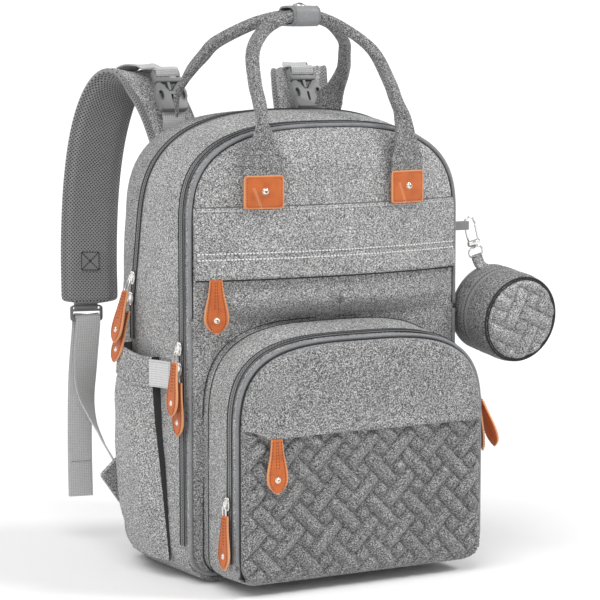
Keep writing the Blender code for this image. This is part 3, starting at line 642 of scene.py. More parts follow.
def build_laptop_cover():
    rings = []
    for k in range(14):
        ease = k / 13 * math.pi / 2
        tuck = (1 - math.cos(ease)) ** 1.4
        ring = []
        for x, z in outline(REAR_HALF_W - 0.0105 * tuck, REAR_TOP - 0.004 * tuck, 0.0012 + 0.0058 * tuck):
            y = rear_zip_y(z) + ZIP_SLIT + math.sin(ease) * (back_y(z) - rear_zip_y(z) - ZIP_SLIT)
            slack = wobble((x, y, z), 0.0008, 22.0, 9.0)
            ring.append(Vector((x + (slack if x > 0 else -slack), y, z)))
        rings.append(ring)
    for k in (0.97, 0.90, 0.8, 0.6, 0.3):
        spots = [(x * k, 0.22 + (z - 0.22) * k) for x, z in outline(0.1360, 0.4265, 0.007)]
        rings.append([Vector((x, back_y(z) + wobble((x, 0, z), 0.0008, 16.0, 5.0), z)) for x, z in spots])
    inner = [
        [Vector((x, rear_zip_y(z) + ZIP_SLIT, z)) for x, z in outline(REAR_HALF_W, REAR_TOP, 0.0012, inset=WALL)],
        [Vector((x, back_y(z) - 0.008, z)) for x, z in outline(0.1415, 0.4315, 0.002, inset=WALL)],
    ]
    verts, faces, shades = shell_mesh(rings, inner, (False, True), (False, True), 0)
    mats = [FABRIC_LID_SHADED, LINING]
    make("laptop_cover", verts, faces, mats, "laptop_section", 40, ("laptop_shell",), shades)


def crown_y(x, z):
    across = 1 - (x / HALF_W) ** 2
    edge = max(1 - abs(x / HALF_W) ** ARCH_POWER, 0) ** (1 / ARCH_POWER)
    top = ARCH_START + (FRONT_TOP - ARCH_START) * edge
    fade = min(max(min((top - z) / 0.045, (z - FOLD_Z) / 0.020), 0), 1)
    return PANEL_Y - 0.0012 - CROWN * max(across, 0) * math.sin(fade * math.pi / 2)


def front_y(x, z):
    """Crowned face of the front, with slack and a hollow under the placket's free edge."""
    hollow = 0.0008 * math.exp(-(((z - 0.2740) / 0.0080) ** 2)) * max(1 - (x / HALF_W) ** 4, 0)
    return crown_y(x, z) - wobble((x, 0, z), 0.0014, 15.0, 1.3) + hollow


def build_front():
    """The whole front as one fixed cloth, behind the pocket and above it."""
    base = outline(HALF_W, FRONT_TOP, 0.008, 0.022, count=280)
    middle = 0.26
    rings = [[Vector((x * k, RIM_Y - 0.0006, middle + (z - middle) * k)) for x, z in base]
             for k in (0.05, 0.4, 0.7, 0.9, 1.0)]
    rings.append([Vector((x, PANEL_Y + 0.0010, z)) for x, z in base])
    for k in [1 - 0.006 * i for i in range(1, 8)] + list(np.linspace(0.945, 0.04, 44)):
        edge = smoothstep(1.0, 0.965, k)
        ring = []
        for x0, z0 in base:
            x, z = x0 * k, middle + (z0 - middle) * k
            ring.append(Vector((x, PANEL_Y + 0.0006 + (front_y(x, z) - PANEL_Y - 0.0006) * edge, z)))
        rings.append(ring)
    verts, faces = rings_mesh(rings)
    count = len(base)
    shades = [1] * (4 * count) + [0] * (len(faces) - 4 * count - 2) + [1, 0]
    obj = make("front_cloth", verts, faces, [FABRIC, LINING], None, 40, ("front_flap", "front_panel"),
               shades)
    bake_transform(obj)


def placket_out(z):
    """How far the placket stands off the flap, most at its free lower edge."""
    t = max(PLACKET_HIGH - z, 0) / (PLACKET_HIGH - PLACKET_LOW)
    return 0.0012 + 0.0036 * t**1.5


def placket_point(x, z, extra=0.0):
    slack = wobble((x, 0, z), 0.0014, 15.0, 1.3)
    ripple = 0.0007 * noise.noise(Vector((x * 38, 7.7, z * 10)))
    return Vector((x, crown_y(x, z) - slack - placket_out(z) - extra - ripple, z))


def build_placket():
    # Down the outside, round the fold at the lower edge, and back up behind
    profile = [(PLACKET_HIGH - 0.0002, -0.0016), (PLACKET_HIGH + 0.0006, -0.0004), (PLACKET_HIGH - 0.0006, 0.0006)]
    profile += [(z, 0.0012) for z in np.linspace(PLACKET_HIGH - 0.003, PLACKET_LOW + 0.003, 22)]
    profile += [(PLACKET_LOW + 0.0011, 0.0009), (PLACKET_LOW + 0.0003, 0.0), (PLACKET_LOW + 0.0011, -0.0011)]
    profile += [(z, -0.0016) for z in np.linspace(PLACKET_LOW + 0.004, PLACKET_HIGH - 0.004, 6)]
    rings = []
    for x in np.linspace(-0.1392, 0.1392, 150):
        ring = []
        for z, extra in profile:
            pocketed = -0.0008 * math.exp(-(((z - 0.3035) / 0.0022) ** 2)) if extra > 0.001 else 0.0
            ring.append(placket_point(x, z, extra + pocketed))
        rings.append(ring)
    verts, faces = rings_mesh(rings)
    make("placket_band", verts, faces, FABRIC, "flap", 50, ("placket",))
    top = [placket_point(x, PLACKET_HIGH + 0.0010, -0.0008) for x in np.linspace(-0.1385, 0.1385, 90)]
    tube("placket_seam", top, 0.0005, STITCH_DIM, "flap", 6)
    under = [placket_point(x, PLACKET_LOW - 0.0001, -0.0022) for x in np.linspace(-0.1380, 0.1380, 90)]
    tube("placket_shadow", under, 0.0013, SEAM, "flap", 6)
    rows = (("top", PLACKET_HIGH - 0.0022, STITCH_GREY), ("mid", 0.3060, STITCH_PALE), ("low", 0.3005, STITCH_PALE))
    for label, z, mats in rows:
        path = [placket_point(x, z, 0.0016) for x in np.linspace(-0.1375, 0.1375, 120)]
        stitches(f"placket_stitches_{label}", path, (0, -1, 0), mats, "flap", 0.0034, 0.0023, 0.0014)


# --- Front pocket ----------------------------------------------------------------------------------------


def pocket_outline(inset=0.0, top=POCKET_TOP, count=200):
    return outline(POCKET_HALF_W, top, POCKET_BOTTOM, 0.018, inset, POCKET_ARCH_START, count, POCKET_POWER)


def build_gusset():
    rows, back = 22, PANEL_Y - 0.0004
    outer, inner = [], []
    for i in range(rows):
        t = i / (rows - 1)
        y, arch = back + t * (POCKET_RIM_Y - back), math.sin(math.pi * t)
        pinch = -0.0014 * math.exp(-(((t - 0.06) / 0.05) ** 2)) + 0.0013 * arch
        ring = []
        for x, z in pocket_outline(0.0, POCKET_TOP + 0.004 - 0.011 * t**1.2):
            away = Vector((x, 0, z - 0.12)).normalized()
            ring.append(Vector((x, y, z)) + away * (pinch + wobble((x, y, z), 0.0012, 26.0, 6.0) * arch))
        outer.append(ring)
    for t in (1, 0.5, 0):
        points = pocket_outline(0.0035, POCKET_TOP + 0.004 - 0.011 * t**1.2)
        inner.append([Vector((x, back + t * (POCKET_RIM_Y - back), z)) for x, z in points])
    verts, faces = rings_mesh(outer + inner, loop=True)
    count = len(outer[0])
    shades = [0] * (rows * count) + [1] * (2 * count) + [0] * count
    make("pocket_side", verts, faces, [FABRIC, LINING], "bag", 40, ("pocket_gusset",), shades)
    for name, y, inset, rise, radius in (
        ("pocket_seam", PANEL_Y - 0.0012, -0.0008, 0.0042, 0.0005),
        ("gusset_seam", -0.0795, -0.0012, 0.0025, 0.0004),
    ):
        path = [Vector((x, y, z)) for x, z in pocket_outline(inset, POCKET_TOP + rise)]
        tube(name, path, radius, SEAM, "bag", 6, closed=True)


# Repeat of the woven quilting: one bar and one gap
QUILT_PITCH = 0.0276


def puff(distance):
    """Height of a padded channel at a distance from its sewn edge, in half widths of a bar."""
    return math.sin(math.pi / 2 * min(1.0, max(distance, 0.0) / 0.5)) ** 0.62


def quilt(x, z, turn=0.0):
    """Height, 0 to 1, of a padded lattice: bars that cross over and under, with square pads between them."""
    unit = QUILT_PITCH / 2
    angle = math.radians(45) + turn
    u = (x * math.cos(angle) + z * math.sin(angle)) / unit
    v = (z * math.cos(angle) - x * math.sin(angle)) / unit
    a, b = math.floor(u), math.floor(v)
    low_u, low_v = u - a, v - b
    high_u, high_v = 1 - low_u, 1 - low_v
    if a % 2 == 0 and b % 2 == 0:
        if (a // 2 + b // 2) % 2 == 0:
            low_u, high_u = low_u + 1, high_u + 1
        else:
            low_v, high_v = low_v + 1, high_v + 1
    elif b % 2 == 0:
        if ((a - 1) // 2 + b // 2) % 2 == 0:
            low_u += 2
        else:
            high_u += 2
    elif a % 2 == 0:
        if (a // 2 + (b - 1) // 2) % 2 == 1:
            low_v += 2
        else:
            high_v += 2
    return puff(min(low_u, high_u)) * puff(min(low_v, high_v))


def lid_half_width(z, inset=0.0):
    w, top, low, r = POCKET_HALF_W - inset, POCKET_TOP - 0.007 - inset, POCKET_BOTTOM + inset, 0.018
    if z < low + r:
        d = low + r - z
        return w - r + math.sqrt(max(r * r - d * d, 0))
    if z < POCKET_ARCH_START:
        return w
    s = min((z - POCKET_ARCH_START) / (top - POCKET_ARCH_START), 1.0)
    return w * max(1 - s**POCKET_POWER, 0) ** (1 / POCKET_POWER)


def lid_depth(x, z, inset):
    """0 at the lid's rim to 1 inside it, for the rolled edge."""
    side = lid_half_width(z, inset) - abs(x)
    top = POCKET_TOP - 0.007 - inset - z
    low = z - POCKET_BOTTOM - inset
    near = min(side / 0.013, low / 0.017, (top + 0.003) / 0.012, 1.0)
    return math.sqrt(max(1 - (1 - max(near, 0.0)) ** 2, 0.0))


LID_INSET = 0.0022
LID_PEAK = POCKET_TOP - 0.007 - LID_INSET


def lid_spread(cols, reach):
    """From -1 to 1, closer together near both ends for the rolled edges."""
    return np.sin(np.linspace(-math.pi / 2, math.pi / 2, cols) * reach) / math.sin(reach * math.pi / 2)


def build_lid_quilting():
    """The padded lower part, closed behind by a plain back."""
    low, high, cols, back = POCKET_BOTTOM + 0.0024, SLIT_Z + 0.012, 230, POCKET_RIM_Y - 0.0006
    zs = list(np.linspace(low, high, int((high - low) / 0.0013)))
    rows = len(zs)
    front, rear = [], []
    for z in zs:
        w = max(lid_half_width(z, LID_INSET), 0.002)
        for x in w * lid_spread(cols, 0.92):
            depth = 0.0050 + 0.0062 * quilt(x + 0.004, z) + wobble((x, 0, z), 0.0010, 14.0, 2.0)
            front.append(Vector((x, back - 0.0030 - depth * lid_depth(x, z, LID_INSET), z)))
        rear += [Vector((w * s, back, z)) for s in (-1, -0.5, 0, 0.5, 1)]
    start = len(front)
    faces = grid_faces(rows, cols) + [f[::-1] for f in grid_faces(rows, 5, start=start)]
    for i in range(rows - 1):
        a, b = i * cols, start + i * 5
        faces.append((a, a + cols, b + 5, b))
        faces.append((a + cols - 1, b + 4, b + 9, a + 2 * cols - 1))
    faces.append((*range(cols), *(start + k for k in (4, 3, 2, 1, 0))))
    last, rear_last = (rows - 1) * cols, start + (rows - 1) * 5
    faces.append((*reversed(range(last, last + cols)), *range(rear_last, rear_last + 5)))
    lower = make("lid_quilted", front + rear, faces, FABRIC_DEEP_SHADED, "pocket_lid", 45)
    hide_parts("pocket_lid")


def build_lid_flap():
    """The plain upper part hangs over the quilting in a free edge that droops at its left end."""
    zs = [SLIT_Z + k for k in (0.0, 0.0006, 0.002, 0.005, 0.009, 0.014, 0.02, 0.026)]
    arch = LID_PEAK - POCKET_ARCH_START
    curve = [POCKET_ARCH_START + arch * math.sin(a) ** (2 / POCKET_POWER) for a in np.linspace(0.17, 1.50, 60)]
    zs = sorted(zs + [z for z in curve if z > SLIT_Z + 0.028])
    cols = 160
    front, rear = [], []
    for z in zs:
        w = max(lid_half_width(z, LID_INSET) - 0.0006, 0.003)
        fade, lip = smoothstep(0.03, 0.0, z - SLIT_Z), smoothstep(0.016, 0.0, z - SLIT_Z)
        roll = 0.0009 * smoothstep(0.0009, 0.0, z - SLIT_Z)
        for x in w * lid_spread(cols, 0.9):
            left = smoothstep(-0.100, -0.124, x)
            zz = z + fade * (0.0075 * left - 0.0012 * smoothstep(-0.05, -0.1, x) * (1 - left))
            depth = 0.0086 + 0.0012 * math.cos(x * 9) + wobble((x, 0, zz), 0.0014, 15.0, 8.0) + 0.0034 * lip
            y = POCKET_RIM_Y - 0.0036 - depth * lid_depth(x, z, LID_INSET)
            behind = min(y + 0.0022, POCKET_RIM_Y - 0.0026) if z < SLIT_Z + 0.012 else POCKET_RIM_Y - 0.0010
            front.append(Vector((x, y + roll, zz)))
            rear.append(Vector((x, behind, zz)))
    faces = layered_faces(len(zs), cols)
    upper = make("lid_plain", front + rear, faces, FABRIC_LID_SHADED, "pocket_lid", 50)


# --- Zips ------------------------------------------------------------------------------------------------


def build_zip(name, path, normals, body, tape_width, node):
    """Woven tape with a double row of coil teeth, and a dark cord each side where it is sewn in: painted seam shade.
    """
    wide_dirs = [along.cross(n).normalized() for (_, along, _, _), n in zip(frames(path, normals), normals)]
    sweep(f"{name}_tape", path, wide_dirs, strip_section(tape_width, 0.0011, 12, 0.3), TAPE, body,
          (node,))
    length = sum((b - a).length for a, b in zip(path, path[1:]))
    even = [Vector(p) for p in resample(path, int(length / 0.00165), closed=False)]
    samples = np.array([tuple(p) for p in path])
    placements = []
    for i, (a, b) in enumerate(zip(even, even[1:])):
        nearest = int(np.argmin(np.sum((samples - np.array(tuple(a))) ** 2, axis=1)))
        n, w = normals[nearest], wide_dirs[nearest]
        side = 0.0006 if i % 2 else -0.0006
        placements.append(axes((a + b) / 2 + n * 0.0007 + w * side, (b - a).normalized(), n))
    merge_blocks(f"{name}_teeth", placements, TOOTH, TEETH, body, 180)
    # Dark cords along the tape's sewn edges: painted shade in the seams.
    for label, side in (("in", -1), ("out", 1)):
        shifted = [p + w * side * tape_width * 0.43 + n * 0.0006 for p, w, n in zip(path, wide_dirs, normals)]
        tube(f"{name}_seam_{label}", shifted, 0.00075, SEAM, body, 6)


def rim_path(points, y, low):
    """Points above low, from the right foot over the top to the left foot, at depth y, with outward normals."""
    run = [(x, z) for x, z in points if z >= low]
    right = sorted([p for p in run if p[0] >= 0], key=lambda p: p[1] - p[0] * 3)
    left = sorted([p for p in run if p[0] < 0], key=lambda p: -(p[1] + p[0] * 3))
    path = [Vector((x, y(z) if callable(y) else y, z)) for x, z in right + left]
    normals = []
    for i in range(len(path)):
        along = path[min(i + 1, len(path) - 1)] - path[max(i - 1, 0)]
        normals.append(Vector((along.z, 0, -along.x)).normalized())
    return path, normals


def build_zips():
    for name, points, y, low, width in (
        ("main_zip", outline(HALF_W + 0.0018, FRONT_TOP + 0.0018, count=260), RIM_Y + 0.0045, 0.034, 0.0094),
        ("laptop_zip", outline(REAR_HALF_W + 0.0012, REAR_TOP + 0.0012, count=260), lambda z: rear_zip_y(z) - 0.0052,
         0.216, 0.0086),
        ("pocket_zip", pocket_outline(-0.0009, POCKET_TOP - 0.0045, 260), POCKET_RIM_Y + 0.0105, 0.030, 0.0096),
    ):
        build_zip(name, *rim_path(points, y, low), "bag", width, name)

    # Coated piping: round the front's edge in two runs that meet at the fold, and round the lid
    def cord(name, points, y, low, radius, mats, body, sides):
        tube(name, rim_path(points, y, low)[0], radius, mats, body, sides)

    edge = outline(HALF_W - 0.0006, FRONT_TOP - 0.0006, 0.009, 0.022, count=260)
    inner = outline(HALF_W - 0.0030, FRONT_TOP - 0.0030, count=260)
    cord("flap_piping", edge, PANEL_Y - 0.0004, FOLD_Z + 0.0005, 0.0019, PIPING, "flap", 12)
    cord("flap_piping_seam", inner, PANEL_Y - 0.0010, FOLD_Z + 0.0005, 0.0006, SEAM, "flap", 6)
    low_run = [p for p in edge if p[1] < FOLD_Z - 0.0008]
    right = sorted([p for p in low_run if p[0] >= 0], key=lambda p: p[0] * 3 + p[1])
    left = sorted([p for p in low_run if p[0] < 0], key=lambda p: p[0] * 3 - p[1])
    path = [Vector((x, PANEL_Y - 0.0004, z)) for x, z in left + right]
    tube("panel_piping", path, 0.0019, PIPING, "bag", 12)
    for name, inset, radius, y, size, mats, sides in (
        ("lid_piping", 0.0, 0.018, 0.0016, 0.0019, PIPING, 12),
        ("lid_piping_seam", 0.0018, 0.0165, 0.0034, 0.0007, SEAM, 6),
    ):
        points = outline(POCKET_HALF_W - inset, POCKET_TOP - (0.0088 if inset else 0.0068), POCKET_BOTTOM,
                         radius, 0.0,
                         POCKET_ARCH_START, 260, POCKET_POWER)
        cord(name, points, POCKET_RIM_Y - y, 0.0135, size, mats, "pocket_lid", sides)


# --- Leather ---------------------------------------------------------------------------------------------

LEAF = ((0.0, 0.25), (0.05, 0.265), (0.12, 0.275), (0.30, 0.33), (0.50, 0.435), (0.62, 0.485), (0.72, 0.50),
        (0.80, 0.47),
        (0.88, 0.37), (0.95, 0.20), (1.0, 0.03))


def leaf_half_width(s):
    return np.interp(s, [a for a, _ in LEAF], [b for _, b in LEAF])


def build_leaf(name, top, outward, tilt_deg, body, length, width, thick, replaces, curl):
    """Leather pull: a pointed leaf with rubbed edges, two rows of stitches and a rivet."""
    out = Vector(outward).normalized()
    side = Vector((0, 0, 1)).cross(out).normalized()
    spin = Matrix.Rotation(math.radians(tilt_deg), 4, -side)

    def place(s, w, depth):
        bow = curl * math.sin(s * math.pi) + curl * 0.6 * s * s
        local = side * w + out * (depth + bow) + Vector((0, 0, -s * length))
        return Vector(top) + spin @ local

    cols = 15
    ss = np.concatenate([np.linspace(0, 0.7, 22), np.linspace(0.7, 1.0, 20)[1:]])
    verts, wear = [], []
    for layer in (1, -1):
        for s in ss:
            half = leaf_half_width(s) * width
            for t in np.linspace(-1, 1, cols):
                edge = max(abs(t) ** 6, smoothstep(0.93, 1.0, s))
                depth = layer * thick / 2 * (1 - 0.42 * edge)
                groove = 0.00012 * math.exp(-(((abs(t) - 0.74) / 0.09) ** 2)) if layer > 0 else 0
                verts.append(place(s, half * t, depth - groove))
                wear.append((smoothstep(0.80, 1.0, max(abs(t), smoothstep(0.9, 1.0, s))), 0, 0))
    faces = layered_faces(len(ss), cols)
    make(name, verts, faces, LEATHER, body, 50, replaces, attrs={"wear": wear})
    normal = spin @ out
    for label, sign, end in (("a", -0.74, 0.93), ("b", 0.74, 0.93), ("c", -0.16, 0.55), ("d", 0.16, 0.55)):
        path = [place(s, sign * leaf_half_width(s) * width, thick / 2 + 0.00005) for s in np.linspace(0.03, end, 30)]
        stitches(f"{name}_stitch_{label}", path, normal, STITCH_DARK, body, 0.0027, 0.0016, 0.0009)
    dome(f"{name}_rivet", place(0.74, 0, thick / 2 - 0.0002), normal, 0.0021, 0.0017, RIVET, body, 0.5)


def build_slider(name, position, outward, along):
    """Cast slider: a plate with a bridge; the ring that the leather hangs from is made by build_ring."""
    out, up = Vector(outward).normalized(), Vector(along).normalized()
    side = up.cross(out).normalized()
    base = Matrix((side, up, out)).transposed().to_4x4()
    base.translation = Vector(position)
    shape = [(-0.0030, -0.0062), (0.0030, -0.0062), (0.0040, -0.0035), (0.0048, 0.0005), (0.0040, 0.0045),
             (0.0018, 0.0064),
             (-0.0018, 0.0064), (-0.0040, 0.0045), (-0.0048, 0.0005), (-0.0040, -0.0035)]
    piece = prism(name + "_plate", shape, 0.0004, 0.0020, base, SILVER, name, 0.0005)
    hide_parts(name)
    arch = [(0, -0.0048, 0.0014), (0, -0.0046, 0.0030), (0, -0.0028, 0.0041), (0, 0.0, 0.0044),
            (0, 0.0024, 0.0040), (0, 0.0040, 0.0028),
            (0, 0.0042, 0.0014)]
    path = spline([base @ Vector(p) for p in arch], 4)
    sweep(name + "_bridge", path, side, strip_section(0.0021, 0.0011, 10, 0.5), SILVER, name)


def build_ring(name, body, top, bottom, outward, width=0.0062, wire=0.00075):
    """Oval wire from top to bottom that links a slider to its leather."""
    top, bottom = Vector(top), Vector(bottom)
    half = (top - bottom).length / 2
    along = (top - bottom).normalized()
    side = along.cross(Vector(outward)).normalized()
    path = [(top + bottom) / 2 + along * v + side * u for u, v in superellipse(width / 2, half, 0.75, 36)]
    tube(name, path, wire, SILVER, body, 10, closed=True)


def node_origin(joint):
    return Vector(JOINTS[joint]["pos_m"])


def slider_centre(node):
    low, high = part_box(node)
    return (Vector(low) + Vector(high)) / 2


# How much nearer than its hinge's stiff CAD plate each soft leather pull hangs to the zip
PULL_TUCK = {"main_pull_upper": 0.0033, "main_pull_lower": 0.0030, "pocket_pull_left": 0.0032,
             "laptop_pull_upper": 0.0010}

# How far in front of its zip the leather of the main and the laptop sliders hangs
PULL_FORWARD = {"main": 0.0030, "lapt": 0.0040}


def build_pulls():
    left, right = (-1, 0, 0), (1, 0, 0)
    climb = (0, -0.20, 1)
    plan = (
        ("main_slider_upper", "main_pull_upper", left, (0, 0, 1), 4, 0.0004),
        ("main_slider_lower", "main_pull_lower", left, (0, 0, 1), 1.5, 0.0003),
        ("laptop_slider_upper", "laptop_pull_upper", left, climb, 14, 0.0006),
        ("laptop_slider_lower", "laptop_pull_lower", left, climb, 17, 0.0004),
        ("pocket_slider_left", "pocket_pull_left", left, (0, 0, 1), 1.5, 0.0005),
        ("pocket_slider_right", "pocket_pull_right", right, (0, 0, 1), 20, 0.0016),
    )
    for slider, pull, outward, along, tilt, curl in plan:
        out = Vector(outward)
        seat = slider_centre(slider) - out * 0.0018
        build_slider(slider, seat, outward, along)
        hinge = node_origin(pull + "_lift") - out * PULL_TUCK.get(pull, 0.0)
        hinge.y -= PULL_FORWARD.get(pull[:4], 0.0)
        build_leaf(pull, hinge, outward, tilt, pull, 0.050, 0.0215, 0.0026, (pull,), curl)
        lean = Matrix.Rotation(math.radians(tilt), 4, -Vector((0, 0, 1)).cross(out))
        foot = hinge + lean @ Vector((0, 0, -0.0032))
        crest = seat + out * 0.0040 + Vector(along).normalized() * -0.0010
        build_ring(pull + "_ring", slider, crest, foot + out * 0.0004, outward)
    # The right pocket pull is two leaves that splay apart; two more pulls hang on the curved front and on the lid
    across, ahead = Vector((-2 * CROWN * 0.1205 / HALF_W**2, -1, 0)).normalized(), Vector((0, -1, 0))
    for name, joint, shift, out, tilt, body, length, width, thick, curl in (
        ("pocket_pull_right_inner", "pocket_pull_right", (-0.0035, -0.003, 0),
         (0.92, -0.39, 0), 5, "pocket_pull_right",
         0.049, 0.0205, 0.0024, 0.001),
        ("upper_pull", "upper_pull", (0, 0, 0.003), across, 3, "upper_pull", 0.0495, 0.0235, 0.0026, 0.0004),
        ("lid_pull", "lid_pull", (0, -0.0058, -0.0015), ahead, 1.5, "lid_pull", 0.0495, 0.0215, 0.0026, 0.0004),
    ):
        hinge = node_origin(joint + "_lift") + Vector(shift)
        build_leaf(name, hinge, out, tilt, body, length, width, thick, (name,) if name == body else (), curl)
    for node, out in (("upper_slider", across), ("lid_slider", ahead)):
        base = Matrix((Vector((0, 0, 1)).cross(out), Vector((0, 0, 1)), out)).transposed().to_4x4()
        base.translation = slider_centre(node)
        shape = [(-0.0040, -0.0040), (0.0040, -0.0040), (0.0044, 0.0), (0.0022, 0.0040), (-0.0022, 0.0040),
                 (-0.0044, 0.0)]
        plate = prism(node + "_plate", shape, -0.0006, 0.0006, base, SILVER, node, 0.0003)
        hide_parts(node)


def build_tabs():
    """Leather squares over the front handle's ends."""
    rows, cols = 22, 30
    low, high, half, inset = 0.3462, 0.3766, 0.0190, 0.0024
    for label, x0 in (("left", -HANDLE_X), ("right", HANDLE_X)):
        y0 = crown_y(x0, 0.36) - 0.0056
        verts, wear = [], []
        for front in (True, False):
            for v in np.linspace(-1, 1, rows):
                for u in np.linspace(-1, 1, cols):
                    shrink = 1 / max((abs(u) ** 14 + abs(v) ** 14) ** (1 / 14), 1.0)
                    rim = max(abs(u), abs(v))
                    crease = 0.0004 * math.exp(-(((u + 0.15 + (v + 1) * 0.32) / 0.05) ** 2)) * (v < 0.3)
                    bulge = 0.0010 * (1 - u * u) * (1 - v * v)
                    x = x0 + half * u * shrink
                    lift = 0.0012 * (1 - 0.45 * rim**10) + bulge - crease if front else -0.0016
                    y = y0 + crown_y(x, 0.36) - crown_y(x0, 0.36) - lift
                    verts.append(Vector((x, y, (low + high) / 2 + (high - low) / 2 * v * shrink)))
                    wear.append(((smoothstep(0.90, 1.0, rim) + crease * 1500) * front, 0, 0))
        name = f"handle_tab_{label}"
        make(name + "_leather", verts, layered_faces(rows, cols), LEATHER, "flap", 50, (name,),
             attrs={"wear": wear})
        normal = Vector((2 * CROWN * x0 / HALF_W**2, -1, 0)).normalized()

        def at(x, z):
            return Vector((x, y0 + crown_y(x, 0.36) - crown_y(x0, 0.36) - 0.0012, z))

        left, right, top, foot = x0 - half + inset, x0 + half - inset, high - inset, low + inset
        corners = [(left, top), (right, top), (right, foot), (left, foot), (left, top)]
        path = []
        for (xa, za), (xb, zb) in zip(corners, corners[1:]):
            path += [at(xa + (xb - xa) * t, za + (zb - za) * t) for t in np.linspace(0, 1, 8, endpoint=False)]
        path.append(at(*corners[0]))
        stitches(name + "_stitches", path, normal, STITCH_DARK, "flap", 0.0026, 0.0016, 0.0007, slant=0.5)
        diagonal = [at(x0 - 0.0125 + t * 0.010, high - 0.012 - t * 0.0105) for t in np.linspace(0, 1, 8)]
        stitches(name + "_stitches_v", diagonal, normal, STITCH_DARK, "flap", 0.0028, 0.0015, 0.0006)
        spot = at(x0 + 0.0005, 0.3620) + normal * 0.0004
        dome(name + "_rivet", spot, normal, 0.0031, 0.0030, RIVET, "flap", 0.46)


# --- Handles ---------------------------------------------------------------------------------------------


def handle_section(stations):
    """Folded webbing: flat where it is sewn down, rolled with a crease where it is held."""
    ts, ws, ds = zip(*stations)

    def section(t):
        w, d = float(np.interp(t, ts, ws)), float(np.interp(t, ts, ds))
        rolled = smoothstep(0.004, 0.010, d)
        pts = []
        for u, v in superellipse(w / 2, d / 2, 0.35 + 0.30 * rolled, 32, offset=0.5):
            groove = 1 - 0.55 * rolled * math.exp(-((u / (w * 0.09)) ** 2)) * (1 if v > 0 else 0.6)
            pts.append((u, v * groove))
        return pts

    return section


def handle_pair(node, points, wides, stations):
    """The left half of a handle and its mirror image; the folded tape turns by a quarter on each side."""
    section = handle_section(stations)
    sweep(f"{node}_left", points, wides, section, HANDLE_CLOTH_SHADED, node, (node,))
    points = [Vector((-p.x, p.y, p.z)) for p in points]
    wides = [Vector((w.x, -w.y, -w.z)) for w in wides]
    sweep(f"{node}_right", points, wides, section, HANDLE_CLOTH_SHADED, node)


def build_handles():
    leg = [
        (-HANDLE_X, -0.0862, 0.3700), (-HANDLE_X, -0.0872, 0.3850), (-0.0760, -0.0868, 0.3990),
        (-0.0745, -0.0820, 0.4250), (-0.0728, -0.0720, 0.4430), (-0.0715, -0.0615, 0.4600),
        (-0.0640, -0.0440, 0.4880), (-0.0430, -0.0290, 0.5080), (-0.0190, -0.0245, 0.5185), (0.0, -0.0235, 0.5205),
    ]
    points = spline(leg + [(-x, y, z) for x, y, z in reversed(leg[:-1])], 5)
    points = points[: len(points) // 2 + 1]
    wides = [Vector((1, -0.15, 0)).lerp(Vector((0, 1, 0.3)), smoothstep(0.405, 0.440, p.z)).normalized()
             for p in points[:-1]]
    wides.append(Vector((0, -1, -0.3)).normalized())
    handle_pair("front_handle", points, wides, (
        (0.0, 0.0385, 0.0022), (0.12, 0.0385, 0.0024), (0.20, 0.0320, 0.0035), (0.30, 0.0172, 0.0078),
        (0.42, 0.0132, 0.0102), (1.0, 0.0128, 0.0102),
    ))
    points = spline([
        (-0.0830, 0.0735, 0.4290), (-0.0850, 0.0700, 0.4400), (-0.0862, 0.0610, 0.4510), (-0.0840, 0.0440, 0.4680),
        (-0.0770, 0.0300, 0.4830), (-0.0690, 0.0180, 0.4960), (-0.0430, -0.0010, 0.5120), (-0.0190, -0.0075, 0.5190),
        (0.0, -0.0085, 0.5205),
    ], 5)
    wides = [Vector((0.5, 0.87, 0)).lerp(Vector((0.0001, 1, 0.3)), smoothstep(0.455, 0.49, p.z)).normalized()
             for p in points]
    handle_pair("rear_handle", points, wides, (
        (0.0, 0.0300, 0.0030), (0.12, 0.0290,
                                0.0036), (0.24, 0.0180, 0.0066), (0.38, 0.0130, 0.0098), (1.0, 0.0126, 0.0100),
    ))
    build_grip()


def build_grip():
    """Snap wrap: two coated halves that meet between the handles, with a snap on top."""
    middle, z0 = -0.0160, 0.5200
    for half, sign in (("front", -1), ("rear", 1)):
        section = []
        for a in np.linspace(0, math.pi, 18):
            away = max(math.sin(a), 0) ** 0.6
            section.append((sign * (0.0003 + 0.0162 * away), 0.0098 * signed_power(math.cos(a), 0.6)))
        ring = section + [(y - sign * 0.0016 * (abs(y) > 0.002), z * 0.86) for y, z in section[::-1]]
        rings = []
        for x, grow in (
            (-0.0142, 0.93), (-0.0137, 0.985), (-0.010, 1.0), (0, 1.012), (0.010, 1.0), (0.0137, 0.985),
            (0.0142, 0.93),
        ):
            rings.append([Vector((x + 0.001, middle + y * grow, z0 + z * grow)) for y, z in ring])
        verts, faces = rings_mesh(rings)
        make(f"grip_{half}_wrap", verts, faces, GRIP, f"{half}_handle", 45, (f"grip_{half}",))
    top = Vector((-0.002, middle - 0.0060, z0 + 0.0096))
    dome("grip_snap", top, (0, -0.25, 1), 0.0050, 0.0026, SILVER, "front_handle", 0.5)
    for label, x in (("a", -0.0115), ("b", 0.0135)):
        path = []
        for a in np.linspace(0.35, 2.8, 14):
            y, z = -(0.0003 + 0.0167 * math.sin(a) ** 0.6), 0.0103 * signed_power(math.cos(a), 0.6)
            path.append(Vector((x, middle + y, z0 + z)))
        stitches(f"grip_stitches_{label}", path, lambda p: Vector((0, p.y - middle, p.z - z0)).normalized(),
                 STITCH_DIM,
                 "front_handle", 0.0026, 0.0017, 0.0006)


# --- Shoulder straps -------------------------------------------------------------------------------------

